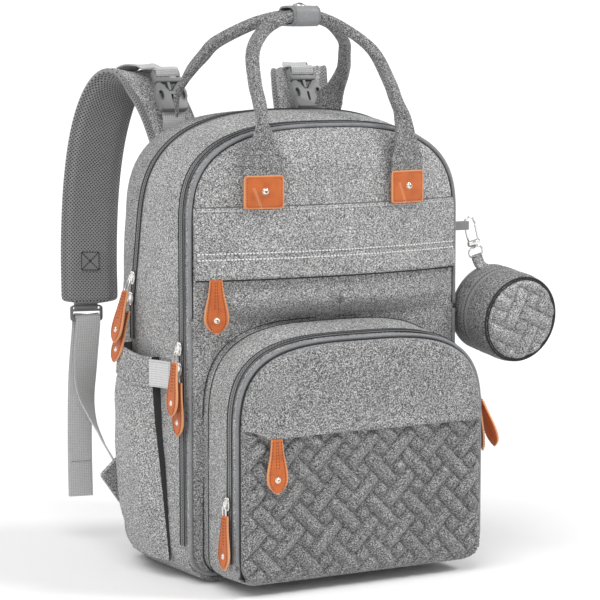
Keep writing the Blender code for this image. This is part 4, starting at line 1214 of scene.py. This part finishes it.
STRAP_RISE = [(-0.0700, 0.0790, 0.360), (-0.0705, 0.0965, 0.392), (-0.0760, 0.1190, 0.432), (-0.0850, 0.1380, 0.4545)]
STRAP_BEND = (-0.0970, 0.1540, 0.4590)
STRAP_HANG = [(-0.1085, 0.1655, 0.4450), (-0.1190, 0.1730, 0.4100), (-0.1270, 0.1750, 0.3600),
              (-0.1325, 0.1715, 0.3000),
              (-0.1360, 0.1638, 0.2490), (-0.1369, 0.1613, 0.2380)]
LOCK_Y = 0.1650
BUCKLE_AXIS = Vector((0.0, 0.490, 0.872)).normalized()


def pad_section(w, d, sides):
    """A foam pad with bound edges: flat faces, a pinched binding each side."""
    pts = []
    for k in range(sides):
        a = 2 * math.pi * (k + 0.5) / sides
        u, v = signed_power(math.cos(a), 0.55), signed_power(math.sin(a), 0.45)
        pinch = 1 - 0.42 * smoothstep(0.74, 0.80, abs(u)) + 0.10 * smoothstep(0.84, 0.92, abs(u))
        pts.append((u * w / 2, v * d / 2 * pinch))
    return pts


def build_strap(label, flip):
    """The padded strap, and the frames along it."""
    strap = f"strap_{label}"
    curve = spline([*STRAP_RISE, STRAP_BEND, *STRAP_HANG], 8)
    last, cols = len(curve) - 1, 40
    wides = [Vector((1, -0.25 * smoothstep(0.42, 0.62, i / last), 0)).normalized() for i in range(last + 1)]
    data = frames(curve, wides)
    verts, flow, shades = [], [], []
    run = 0.0
    for i, (point, _, w, thick) in enumerate(data):
        run += (point - data[max(i - 1, 0)][0]).length
        t = i / last
        width = 0.0560 * math.sqrt(1 - (0.95 * max(t - 0.90, 0) / 0.10) ** 2.6)
        depth = 0.0125 - 0.0045 * smoothstep(0.95, 1.0, t) - 0.003 * smoothstep(0.1, 0.0, t)
        for a, d in pad_section(width, depth, cols):
            ripple = wobble(point + w * a, 0.0007, 30.0, 4.0)
            verts.append(flip @ (point + w * a + thick * (d + math.copysign(1, d) * ripple)))
            flow.append((run, a, d))
    faces = grid_faces(last + 1, cols, wrap_cols=True)
    for _, across, depth in flow[: last * cols]:
        shades.append(0 if abs(across) > 0.0224 or depth > 0 else 1)
    faces += [tuple(range(cols)), tuple(range(len(verts) - cols, len(verts)))]
    shades += [0, 0]
    pad = make(f"{strap}_padding", verts, faces, [MESH, FABRIC], None, 60, face_mats=shades,
               attrs={"flow": flow})
    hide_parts(f"strap_pad_{label}", f"strap_top_{label}")
    before, after = (flip @ curve[int(len(curve) * share)] for share in (0.36, 0.56))
    tuple(before)
    tuple(after)
    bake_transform(pad)
    return data


def build_strap_trim(label, flip, data):
    strap, section_body = f"strap_{label}", "laptop_section"
    turned_over = flip.to_3x3()
    # Webbing: anchor to lock to free tail
    route_up = [(-0.1440, 0.0850, 0.0860), (-0.1420, 0.1050, 0.0950), (-0.1405, 0.1300, 0.1080),
                (-0.1410, 0.1500, 0.1250),
                (-0.1425, 0.1605, 0.1500), (-0.1415, 0.1618, 0.1850), (-0.1393, LOCK_Y - 0.0046, 0.2200),
                (-0.1390, LOCK_Y - 0.001, 0.2262)]
    points = [flip @ p for p in spline(route_up, 8)]
    wide, turned = flip @ Vector((1, -0.25, 0)), flip @ Vector((0.35, 0.94, 0))
    wides_up = [turned.lerp(wide, smoothstep(0.25, 0.85, i / (len(points) - 1))).normalized()
                for i in range(len(points))]
    up = sweep(f"{strap}_web_up", points, wides_up, strip_section(0.0245, 0.0016, 14, 0.25), WEBBING, None)
    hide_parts(f"strap_webbing_{label}")
    tuple(points[2])
    tuple(points[-10])
    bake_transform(up)
    tail_route = [
        (-0.1390, LOCK_Y + 0.001, 0.2262), (-0.1391, LOCK_Y + 0.0046, 0.2225), (-0.1395, LOCK_Y + 0.0055, 0.2100),
        (-0.1430, LOCK_Y + 0.0060, 0.1700), (-0.1452, LOCK_Y + 0.0045, 0.1300), (-0.1460, LOCK_Y + 0.0035, 0.0850),
        (-0.1462, LOCK_Y + 0.0020, 0.0450),
    ]
    points = [flip @ p for p in spline(tail_route, 8)]

    def doubled(t):
        return 0.0016 + 0.0018 * smoothstep(0.845, 0.855, t)

    sweep(f"{strap}_web_tail", points, wide, strip_section(0.0245, doubled, 14, 0.25), WEBBING, strap)
    fold = points[-8]
    for suffix, face in (("", 1), ("_b", -1)):
        row = [fold + wide.normalized() * a + Vector((0, face * 0.0022, 0)) for a in np.linspace(-0.010, 0.010, 8)]
        stitches(f"{strap}_tail_stitches{suffix}", row, (0, face, 0), STITCH_DIM, strap, 0.0026, 0.0018,
                 0.0007)

    # Ladder lock: a frame with two slots, and the tape that holds it to the pad
    turn = Matrix.Rotation(-math.atan(0.25), 4, "Z")
    upright = Matrix(((1, 0, 0, 0), (0, 0, 1, 0), (0, 1, 0, 0), (0, 0, 0, 1)))
    base = flip @ Matrix.Translation((-0.1390, LOCK_Y, 0.2200)) @ turn @ upright
    outer = superellipse(0.0162, 0.0082, 0.32, 32, (0, 0.0078))
    lock = prism(f"ladder_lock_{label}_frame", outer, -0.0020, 0.0020, base, PLASTIC, strap, 0.0006)
    holes = [[(-0.0134, z0), (0.0134, z0), (0.0134, z1), (-0.0134, z1)] for z0,
             z1 in ((0.0040, 0.0098), (0.0118, 0.0142))]
    cut(lock, [(hole, -0.004, 0.004) for hole in holes], base)
    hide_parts(f"ladder_lock_{label}")
    holder = [(-0.1382, LOCK_Y + 0.0030, 0.2480), (-0.1385, LOCK_Y + 0.0030, 0.2400),
              (-0.1390, LOCK_Y + 0.0005, 0.2325)]
    holder = [flip @ p for p in spline(holder, 6)]
    sweep(f"{strap}_lock_tape", holder, wide, strip_section(0.0240, 0.0014, 12, 0.3), WEBBING, strap)

    # Sewn patch with a crossed box on the mesh face near the pad's end
    point, _, w, thick = data[int(len(data) * 0.83)]
    patch_frame = axes(flip @ (point + thick * 0.0068), turned_over @ w, turned_over @ thick)
    corners = [(-0.0088, -0.0088), (0.0088, -0.0088), (0.0088, 0.0088), (-0.0088, 0.0088)]
    prism(f"{strap}_patch", superellipse(0.0100, 0.0100, 0.2, 32), -0.0010, 0.0003, patch_frame, WEB_DIM,
          strap, 0.0004)
    lines = list(zip(corners, corners[1:] + corners[:1])) + [(corners[0], corners[2]), (corners[1], corners[3])]
    for n, (a, b) in enumerate(lines):
        ends = Vector((*a, 0.0002)), Vector((*b, 0.0002))
        path = [patch_frame @ ends[0].lerp(ends[1], t) for t in np.linspace(0, 1, 6)]
        up = patch_frame.to_3x3() @ Vector((0, 0, 1))
        stitches(f"{strap}_patch_{n}", path, up, SEAM, strap, 0.0024, 0.0020, 0.0014)

    # Anchor: a stitched triangle of fabric in the lower seam
    wedge = [(-0.1270, 0.034), (-0.1270, 0.106), (-0.1460, 0.0985), (-0.1650, 0.0815), (-0.1440, 0.0520)]
    points = [(x * flip[0][0], z) for x, z in resample(wedge, 40)]
    middle = np.mean(points, axis=0)
    rings = []
    for k, y in ((0.97, 0.0786), (1.0, 0.0798), (1.0, 0.0822), (0.95, 0.0836), (0.6, 0.0842), (0.1, 0.0843)):
        rings.append([Vector((middle[0] + (x - middle[0]) * k, y, middle[1] + (z - middle[1]) * k)) for x,
                     z in points])
    verts, faces = rings_mesh(rings)
    make(f"strap_anchor_{label}_wing", verts, faces, FABRIC, section_body, 50,
         (f"strap_anchor_{label}",))
    ring = [(middle[0] + (x - middle[0]) * 0.84, middle[1] + (z - middle[1]) * 0.84) for x, z in points]
    stitches(f"strap_anchor_{label}_stitches", [Vector((x, 0.0844, z)) for x, z in ring], (0, 1, 0),
             STITCH_GREY, section_body,
             0.003, 0.0021, 0.0006)
    build_buckle(label, flip, section_body)


def cut(obj, holes, base):
    """Cuts flat shapes, each (points, low, high), out of a prism in the same base."""
    cutters = [prism("cutter", points, low, high, base, PLASTIC, None, 0) for points, low, high in holes]
    for cutter in cutters:
        modifier = obj.modifiers.new("cut", "BOOLEAN")
        modifier.operation, modifier.solver, modifier.object = "DIFFERENCE", "EXACT", cutter
    apply_modifiers(obj)
    for cutter in cutters:
        bpy.data.objects.remove(cutter)
    obj.data.shade_smooth()
    obj.data.set_sharp_from_angle(angle=math.radians(35))


def build_buckle(label, flip, section_body):
    buckle, across = f"buckle_{label}", Vector((1, 0, 0))
    out = Vector((0, -BUCKLE_AXIS.z, BUCKLE_AXIS.y))
    base = Matrix((across, BUCKLE_AXIS, out)).transposed().to_4x4()
    base.translation = Vector((-0.0755, 0.1030, 0.4180)) + out * 0.0085 + BUCKLE_AXIS * 0.005
    base = flip @ base

    # Socket: waisted body with a V-shaped mouth, side windows and a middle slot
    half = [(0.0118, 0.0), (0.0142, 0.0012), (0.0150, 0.0045), (0.0152, 0.0105), (0.0166, 0.0150),
            (0.0166, 0.0205), (0.0150, 0.0248),
            (0.0138, 0.0292), (0.0095, 0.0300), (0.0060, 0.0262), (0.0018, 0.0205)]
    shape = half + [(-x, y) for x, y in reversed(half)]
    socket = prism(f"buckle_socket_{label}_shell", shape, 0.0, 0.0078, base, PLASTIC, section_body,
                   0.0011, segments=3)
    holes = [(superellipse(0.0024, 0.0046, 0.9, 28, (s * 0.0116, 0.0160)), 0.0050, 0.02) for s in (-1, 1)]
    cut(socket, [*holes, (superellipse(0.0013, 0.0052, 0.5, 24, (0, 0.0118)), 0.0040, 0.02)], base)
    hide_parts(f"buckle_socket_{label}")
    for letter, s in (("a", -1), ("b", 1)):
        ring = [base @ Vector((s * 0.0116 + 0.0030 * c, 0.0160 + 0.0054 * d, 0.0077)) for c, d in circle(1, 28)]
        tube(f"buckle_socket_{label}_rim_{letter}", ring, 0.0006, PLASTIC, section_body, 8,
             closed=True)
        press = superellipse(0.0021, 0.0043, 0.9, 24, (s * 0.0116, 0.0160))
        prism(f"buckle_prong_{label}_{letter}", press, 0.0046, 0.0060, base, DARK, buckle, 0.0004)
    floor_shape = superellipse(0.0104, 0.0066, 0.4, 24, (0, 0.0250))
    prism(f"buckle_mouth_{label}", floor_shape, 0.0008, 0.0042, base, DARK, section_body, 0.0004)
    prism(f"buckle_slot_{label}", superellipse(0.0012, 0.0050, 0.5, 24, (0, 0.0118)), 0.0036, 0.0052, base, DARK,
          section_body, 0)
    # Its fixed webbing tail is sewn under the socket
    wide = base.to_3x3() @ across
    foot = [base @ Vector((0, y, z)) for y,
            z in ((0.0012, 0.0012), (-0.0040, 0.0000), (-0.0095, -0.0022), (-0.0150, -0.0058))]
    tape = strip_section(0.0240, 0.0016, 12, 0.3)
    sweep(f"buckle_{label}_foot", spline(foot, 5), wide, tape, WEBBING, section_body)

    # Plug: a bar that the webbing wraps, and two prongs that flex into the socket
    shape = [(-0.0136, 0.0304), (0.0136, 0.0304), (0.0146, 0.0330), (0.0146, 0.0425), (0.0128, 0.0442),
             (-0.0128, 0.0442), (-0.0146, 0.0425),
             (-0.0146, 0.0330)]
    plug = prism(f"buckle_plug_{label}_bar", shape, 0.0010, 0.0070, base, PLASTIC, buckle, 0.0012,
                 segments=3)
    cut(plug, [([(-0.0122, 0.0352), (0.0122, 0.0352), (0.0122, 0.0388), (-0.0122, 0.0388)], -0.01, 0.02)], base)
    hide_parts(f"buckle_plug_{label}")
    tongue = [(-0.0016, 0.0306), (0.0016, 0.0306), (0.0014, 0.0215), (-0.0014, 0.0215)]
    prism(f"buckle_tongue_{label}", tongue, 0.0034, 0.0062, base, PLASTIC, buckle, 0.0005)
    pts = [base @ Vector(p) for p in ((0, 0.0372, 0.0062), (0, 0.0400, 0.0080), (0, 0.0450, 0.0080))]
    pts += [flip @ Vector(p) for p in (
        (-0.0790, 0.1330, 0.4690), (-0.0850, 0.1440, 0.4715), (-0.0935, 0.1560, 0.4690), (-0.1020, 0.1680, 0.4590),
        (-0.1080, 0.1760, 0.4450),
    )]
    tape = strip_section(0.0240, 0.0020, 14, 0.3)
    sweep(f"buckle_{label}_webbing", spline(pts, 6), wide, tape, WEBBING, buckle,
          (f"plug_webbing_{label}",))


# --- Back, sides, base -----------------------------------------------------------------------------------


def build_back_pad():
    base = outline(0.118, 0.338, 0.035, 0.02, 0.0, 0.29, 200)
    rings, flow = [], []
    for k, lift in [(0.985, 0.0006), (1.0, 0.0022), (1.0, 0.0042), (0.985, 0.0062),
                    (0.96, 0.0076)] + [(s, 0.0086) for s in np.linspace(0.93, 0.05, 26)]:
        ring = []
        for x0, z0 in base:
            x, z = x0 * k, 0.19 + (z0 - 0.19) * k
            rib = 0.0
            if lift > 0.008:
                for seam_z in (0.115, 0.195, 0.275):
                    rib -= 0.0042 * math.exp(-(((z - seam_z - 0.012 * abs(x) / 0.1) / 0.0035) ** 2))
                rib -= 0.0038 * math.exp(-((x / 0.0040) ** 2))
                rib += 0.0010
            y = back_y(z) + lift + rib + wobble((x, 0, z), 0.0006, 20.0, 7.0)
            ring.append(Vector((x, y, z)))
            flow.append((z, x, 0))
        rings.append(ring)
    verts, faces = rings_mesh(rings)
    pad = make("back_padding", verts, faces, MESH, "laptop_section", 60, ("back_pad",),
               attrs={"flow": flow})


def build_side_pocket(name, side):
    """Bottle pocket: its front edge slants forward to the base and stands off; its front wall is coloured with the
    seam shadow as painted shadow of the fold behind it.
    """
    x0, top = 0.1466, 0.2122

    def ring(z, inset):
        outer = float(np.interp(z, (0.018, 0.030, 0.060, 0.120, 0.160, top),
                      (0.1535, 0.1580, 0.1645, 0.1700, 0.1695, 0.1640))) - inset
        front = float(np.interp(z, (0.018, 0.183, top), (-0.0345, -0.0155, -0.0145))) + inset
        rear = float(np.interp(z, (0.018, 0.080, top), (0.0400, 0.0480, 0.0480))) - inset
        lift = x0 + float(np.interp(z, (0.018, 0.150, top), (0.0014, 0.0080, 0.0085))) - inset
        span = outer - x0
        corner = [(x0, front), (x0 + (lift - x0) * 0.5, front), (lift, front)]
        bulge = [(lift, front), (lift + (outer - lift) * 0.55, front + 0.010), (outer, front + 0.026),
                 (outer - 0.0006, rear - 0.011),
                 (x0 + span * 0.55, rear - 0.003), (x0, rear)]
        curve = resample(corner, 5, closed=False)[:-1].tolist()
        curve += resample([(p.x, p.y) for p in spline([(x, y, 0) for x, y in bulge], 9)], 54, closed=False).tolist()
        made = []
        for x, y in curve:
            slack = wobble((x, y, z), 0.0015, 26.0, 11.0) * smoothstep(0.018, 0.05, z) * (0.4 if z > 0.183 else 1.0)
            free = smoothstep(front + 0.0005, front + 0.006, y) * smoothstep(x0, x0 + 0.003, x)
            band = 0.0
            if inset == 0:
                band = 0.0007 * smoothstep(0.1830, 0.1845, z) - 0.0011 * math.exp(-(((z - 0.1832) / 0.0012) ** 2))
                band += 0.0004 * math.sin(y * 2 * math.pi / 0.0055) * smoothstep(0.184, 0.187, z)
            sag = (-0.0055 + 0.0070 * smoothstep(front, rear, y)) * smoothstep(0.10, 0.18, z)
            made.append(Vector((side * (x + (slack + band) * free), y, z + sag)))
        return made

    zs = [0.018, 0.022, 0.030] + list(np.linspace(0.04, 0.180, 22)) + [0.1820, 0.1832, 0.1844, 0.187, 0.194, 0.202,
                                                                       0.2100, top]
    rings = [ring(z, 0.0) for z in zs] + [ring(top, 0.0018)] + [ring(z, 0.0018) for z in (0.205, 0.16, 0.10, 0.032)]
    verts, faces = rings_mesh(rings)
    cols = len(rings[0])
    split = len(zs) * cols
    # The front wall's first faces get the seam shadow material: painted shadow in the fold.
    shades = [2 if k % cols < 4 else 0 for k in range(split)]
    shades += [1] * ((len(rings) - 1 - len(zs)) * cols) + [0, 1]
    make(f"{name}_cloth", verts, faces, [FABRIC_SIDE_LIT, LINING, SEAM], "bag", 45, (name,), shades)
    for label, z in (("a", 0.1862), ("b", 0.2085)):
        path = [p + Vector((side * 0.0007, 0, 0)) for p in ring(z, 0.0)[6:-5]]
        stitches(f"{name}_hem_{label}", path, (side, 0, 0), STITCH_GREY, "bag", 0.0034, 0.0023, 0.0008)
    # Pale tape that holds the pocket's front corner to the body
    tag = [(0.1478, -0.0376), (0.1491, -0.0360), (0.1501, -0.0300), (0.1530, -0.0210), (0.1556, -0.0152),
           (0.1563, -0.0125)]
    points = spline([Vector((side * x, y, 0.1922)) for x, y in tag], 5)
    sweep(f"{name}_tag", points, (0, 0, 1), strip_section(0.0255, 0.0016, 14, 0.3), WEBBING_PALE, "bag")
    for label, z in (("low", 0.1810), ("high", 0.2034)):
        rim = [p + Vector((side * 0.0009, 0, z - p.z)) for p in points[2:-2]]
        stitches(f"{name}_tag_{label}", rim, (side, 0, 0), STITCH_GREY, "bag", 0.0026, 0.0024, 0.0008)


def build_base():
    low, high = (Vector(c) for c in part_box("base_board"))
    shape = superellipse((high.x - low.x) / 2, (high.y - low.y) / 2, 0.12, 60)
    mid = (low + high) / 2
    board = prism("base_board_core", shape, -0.0015, 0.0015, Matrix.Translation(mid), LINING, "bag", 0.0008)
    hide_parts("base_board")


# --- Hanging case ----------------------------------------------------------------------------------------

HOOK = Vector((0.1625, -0.055, 0.3185))
HANG = Matrix.Translation(HOOK) @ Matrix.Rotation(math.radians(-15), 4, "Y")
HOOK_W, FOOT = 0.0115, -0.0175
CASE_R = 0.0425
CASE_BACK, CASE_SEAM, CASE_FACE = -0.003, -0.0265, -0.061
CASE_TOP = 0.0850 + FOOT - 0.0172
CASE = HANG @ Matrix.Translation((HOOK_W / 2, 0, FOOT - 0.0172)) @ Matrix.Rotation(math.radians(7), 4, "X")


def case_disc(y, r, count=96):
    angles = [2 * math.pi * k / count for k in range(count)]
    return [CASE @ Vector((r * math.sin(a), y, r * math.cos(a) - CASE_TOP)) for a in angles]


def build_case():
    # Back half: soft-edged cup
    outer = [(CASE_BACK, 0.02), (CASE_BACK, 0.030), (CASE_BACK - 0.0004, 0.0365),
             (CASE_BACK - 0.0022, 0.0405), (CASE_BACK - 0.005, 0.0422),
             (CASE_BACK - 0.010, 0.0430), (CASE_BACK - 0.016, 0.0430), (CASE_SEAM + 0.004, 0.0424),
             (CASE_SEAM + 0.0004, 0.0415)]
    inner = [(CASE_SEAM + 0.0004, 0.0395), (CASE_BACK - 0.008, 0.0398), (CASE_BACK - 0.003, 0.0385)]

    def shell(name, profile, inside, body, node):
        rings = []
        for y, r in profile:
            middle = CASE @ Vector((0, y, -CASE_TOP))
            rings.append([p + (p - middle).normalized() * wobble(p, 0.0006, 60.0, 2.0) for p in case_disc(y, r)])
        rings += [case_disc(y, r) for y, r in inside]
        verts, faces = rings_mesh(rings)
        count = len(rings[0])
        shades = [0] * (len(profile) * count) + [1] * ((len(inside) - 1) * count) + [0, 1]
        make(name, verts, faces, [FABRIC_DEEP_SHADED, LINING], body, 50, (node,), shades)

    shell("case_back_cup", outer, inner, "case", "case_back")
    side = [(CASE_FACE + 0.002, 0.0370), (CASE_FACE + 0.0012, 0.0400), (CASE_FACE + 0.004, 0.0424),
            (CASE_FACE + 0.010, 0.0430), (CASE_FACE + 0.018, 0.0432),
            (CASE_SEAM - 0.006, 0.0428), (CASE_SEAM - 0.0004, 0.0415)]
    inner = [(CASE_SEAM - 0.0004, 0.0395), (CASE_FACE + 0.008, 0.0395), (CASE_FACE + 0.005, 0.0380)]
    shell("case_lid_side", side, inner, "case_lid", "case_lid")

    # Quilted face, a crowned disc of polar rings
    rings = []
    count = 150
    for r in list(np.linspace(0.0402, 0.0385, 4)) + list(np.linspace(0.0378, 0.0008, 44)):
        ring = []
        for k in range(count):
            a = 2 * math.pi * k / count
            x, z = r * math.sin(a), r * math.cos(a)
            inside = smoothstep(0.0402, 0.0350, r)
            depth = inside * (0.0012 + 0.0016 * (1 - (r / 0.04) ** 2) + 0.0052 * quilt(x + 0.004, z - 0.004,
                              math.radians(6)))
            ring.append(CASE @ Vector((x, CASE_FACE + 0.0014 - depth, z - CASE_TOP)))
        rings.append(ring)
    rings.insert(0, case_disc(CASE_FACE + 0.004, 0.0395, count))
    verts, faces = rings_mesh(rings)
    face = make("case_face", verts, faces, FABRIC, "case_lid", 60)
    tube("case_face_piping", case_disc(CASE_FACE + 0.0010, 0.0408), 0.0009, SEAM, "case_lid", 10,
         closed=True)
    tube("case_face_seam", case_disc(CASE_FACE - 0.0002, 0.0390), 0.0007, SEAM, "case_lid", 6,
         closed=True)
    tube("case_back_piping", case_disc(CASE_BACK - 0.0025, 0.0413), 0.0014, PIPING, "case", 10,
         closed=True)

    # Zip round the middle
    placements = []
    centre, turn = CASE @ Vector((0, CASE_SEAM, -CASE_TOP)), CASE.to_3x3()
    w = turn @ Vector((0, 1, 0))
    steps = 168
    for k in range(steps):
        a = 2 * math.pi * k / steps
        n = (turn @ Vector((math.sin(a), 0, math.cos(a)))).normalized()
        along = (turn @ Vector((math.cos(a), 0, -math.sin(a)))).normalized()
        placements.append(axes(centre + n * 0.0426 + w * (0.0008 if k % 2 else -0.0008), along, n))
    for label, body, high, low, first in (("back", "case", 0.0044, 0.0004, 1),
                                          ("front", "case_lid", -0.0004, -0.0044, 0)):
        ys = (CASE_SEAM + high, CASE_SEAM + low)
        half = placements[first::2]
        merge_blocks(f"case_teeth_{label}", half, TOOTH, TEETH, body, 180)
        profile = ((ys[0], 0.0416), (ys[0], 0.0428), ((ys[0] + ys[1]) / 2, 0.0430), (ys[1], 0.0424), (ys[1], 0.0410))
        lip = [case_disc(y, r) for y, r in profile]
        verts, faces = rings_mesh(lip, loop=True)
        make(f"case_tape_{label}", verts, faces, TAPE, body, 50)

    stud = slider_centre("case_slider")
    n = (stud - centre).normalized()
    along = n.cross(w).normalized()
    build_slider("case_slider", centre + n * 0.0424, n, along)
    build_ring("case_slider_pull", "case_slider", centre + n * 0.0462 + along * 0.001,
               centre + n * 0.0475 - along * 0.011,
               n, 0.0046, 0.0007)

    # Tab, ring, hook
    rim = CASE_R - CASE_TOP
    tab = [CASE @ Vector((0, y, z)) for y, z in (
        (0.0004, 0.0030), (-0.0004, -0.0010), (-0.0030, -0.0060), (CASE_BACK - 0.0050,
                                                                   rim + 0.0005), (CASE_BACK - 0.0062, rim - 0.0006),
    )]
    sweep("case_tab_cloth", spline(tab, 5), turn @ Vector((1, 0, 0)), strip_section(0.0115, 0.0034, 16, 0.4),
          FABRIC, "case",
          ("case_tab",))
    ring_path = []
    for k in range(40):
        c, s = math.cos(2 * math.pi * k / 40), math.sin(2 * math.pi * k / 40)
        drop = 0.0050 * s if s > 0 else 0.0052 * signed_power(s, 0.6)
        ring_path.append(HANG @ Vector((HOOK_W / 2 + 0.0078 * signed_power(c, 0.8), 0, FOOT - 0.0108 + drop)))
    tube("case_ring_wire", ring_path, 0.0010, SILVER, "case_ring", 10, closed=True,
         replaces=("case_ring",))
    r = HOOK_W / 2
    arc = [(r - r * math.cos(a), 0, 0.0005 + r * math.sin(a)) for a in np.linspace(0, 2.64, 16)]
    rod = [HANG @ Vector(p) for p in [(0.0006, 0, FOOT - 0.001), (0.0, 0, FOOT + 0.006), *arc, (HOOK_W, 0, -0.0015)]]
    tube("snap_hook_wire", rod, 0.0011, SILVER, "hook", 12, replaces=("snap_hook",))
    profile = [(0.0068, 0.0), (0.0074, -0.0006), (0.0074, -0.0036), (0.0060, -0.0046), (0.0034, -0.0052),
               (0.0026, -0.0066), (0.0026, -0.0074)]
    rings = [[HANG @ Vector((HOOK_W / 2 + x, y / 2, FOOT + z)) for x, y in circle(r, 28)]
             for r, z in [(0.0058, 0.0004), *profile, (0.0012, -0.0078)]]
    verts, faces = rings_mesh(rings)
    make("snap_hook_base", verts, faces, SILVER, "hook", 50)
    gate = [HANG @ Vector(p) for p in ((HOOK_W, 0, FOOT + 0.0008), (HOOK_W, 0, FOOT + 0.008), (HOOK_W, 0, -0.0024))]
    tube("hook_gate_wire", spline(gate, 5), 0.0011, SILVER, "hook_gate", 12, replaces=("hook_gate",))
    # Loop of dark webbing from the bag's seam, open upwards for the hook
    path = [(-0.0205, 0.0016), (-0.0150, 0.0022), (-0.0080, 0.0026), (0.0010, 0.0026)]
    loop_pts = [(x, -y) for x, y in path] + [(0.0028, -0.0019), (0.0037, 0.0),
                                             (0.0028, 0.0019)] + [(x, y) for x, y in reversed(path)]
    strip = [Vector((HOOK.x + x, HOOK.y + y, HOOK.z)) for x, y in loop_pts]
    sweep("side_loop_tape", spline(strip, 5), (0, 0, 1), strip_section(0.0082, 0.0013, 12, 0.35), TAPE, "bag",
          ("side_loop",))


# --- Studio ----------------------------------------------------------------------------------------------


def build_stage():
    look = Look("studio_floor", roughness=0.9, specular=0.1)
    tint = look.noise(3.0, 2.0)
    look.colour(look.ramp(tint, ((0.3, 0.94), (0.7, 0.955))))
    # Flat near the object, rising gently far away so that it fills the view up to the horizon
    rings = []
    for radius, height in ((3.0, 0.0), (4.0, 0.0), (6.0, 0.05), (9.0, 0.35), (13.0, 1.1), (18.0, 2.4), (24.0, 4.5)):
        rings.append([(x, y, height) for x, y in circle(radius, 64)])
    verts, faces = rings_mesh(rings, caps=(True, False))
    floor = make("floor", verts, faces, look.mat, smooth=180)
    world = bpy.data.worlds.new("studio")
    bpy.context.scene.world = world
    world.use_nodes = True
    world.node_tree.nodes["Background"].inputs["Color"].default_value = (1, 1, 1, 1)
    world.node_tree.nodes["Background"].inputs["Strength"].default_value = 0.50
    bpy.context.scene.view_settings.view_transform = "Standard"

    def sun(name, toward, strength, angle):
        data = bpy.data.lights.new(name, "SUN")
        data.energy = strength
        data.angle = math.radians(angle)
        lamp = bpy.data.objects.new(name, data)
        lamp.rotation_euler = Vector(toward).to_track_quat("Z", "Y").to_euler()
        bpy.context.scene.collection.objects.link(lamp)

    sun("key", (0.95, -0.68, 1.05), 1.27, 16)
    sun("fill", (-0.64, -0.38, 1.35), 1.62, 50)


def build_camera():
    azimuth, elevation, distance = math.radians(-29.4), math.radians(6.7), 2.4
    target = Vector((0.0105, 0.0, 0.249))
    back = Vector((math.sin(azimuth) * math.cos(elevation), -math.cos(azimuth) * math.cos(elevation),
                  math.sin(elevation)))
    data = bpy.data.cameras.new("camera")
    data.lens = 150
    data.sensor_width = 36
    data.clip_start = 0.05
    camera = bpy.data.objects.new("camera", data)
    camera.location = target + back * distance
    camera.rotation_euler = back.to_track_quat("Z", "Y").to_euler()
    bpy.context.scene.collection.objects.link(camera)
    bpy.context.scene.camera = camera


build_camera()
build_stage()
build_main_side()
build_laptop_cover()
build_front()
build_placket()
build_gusset()
build_lid_quilting()
build_lid_flap()
build_zips()
build_tabs()
build_handles()
build_pulls()
for side_label, mirror in (("left", Matrix.Identity(4)), ("right", Matrix.Scale(-1, 4, (1, 0, 0)))):
    build_strap_trim(side_label, mirror, build_strap(side_label, mirror))
build_back_pad()
build_side_pocket("side_pocket_left", -1)
build_side_pocket("side_pocket_right", 1)
build_base()
build_case()
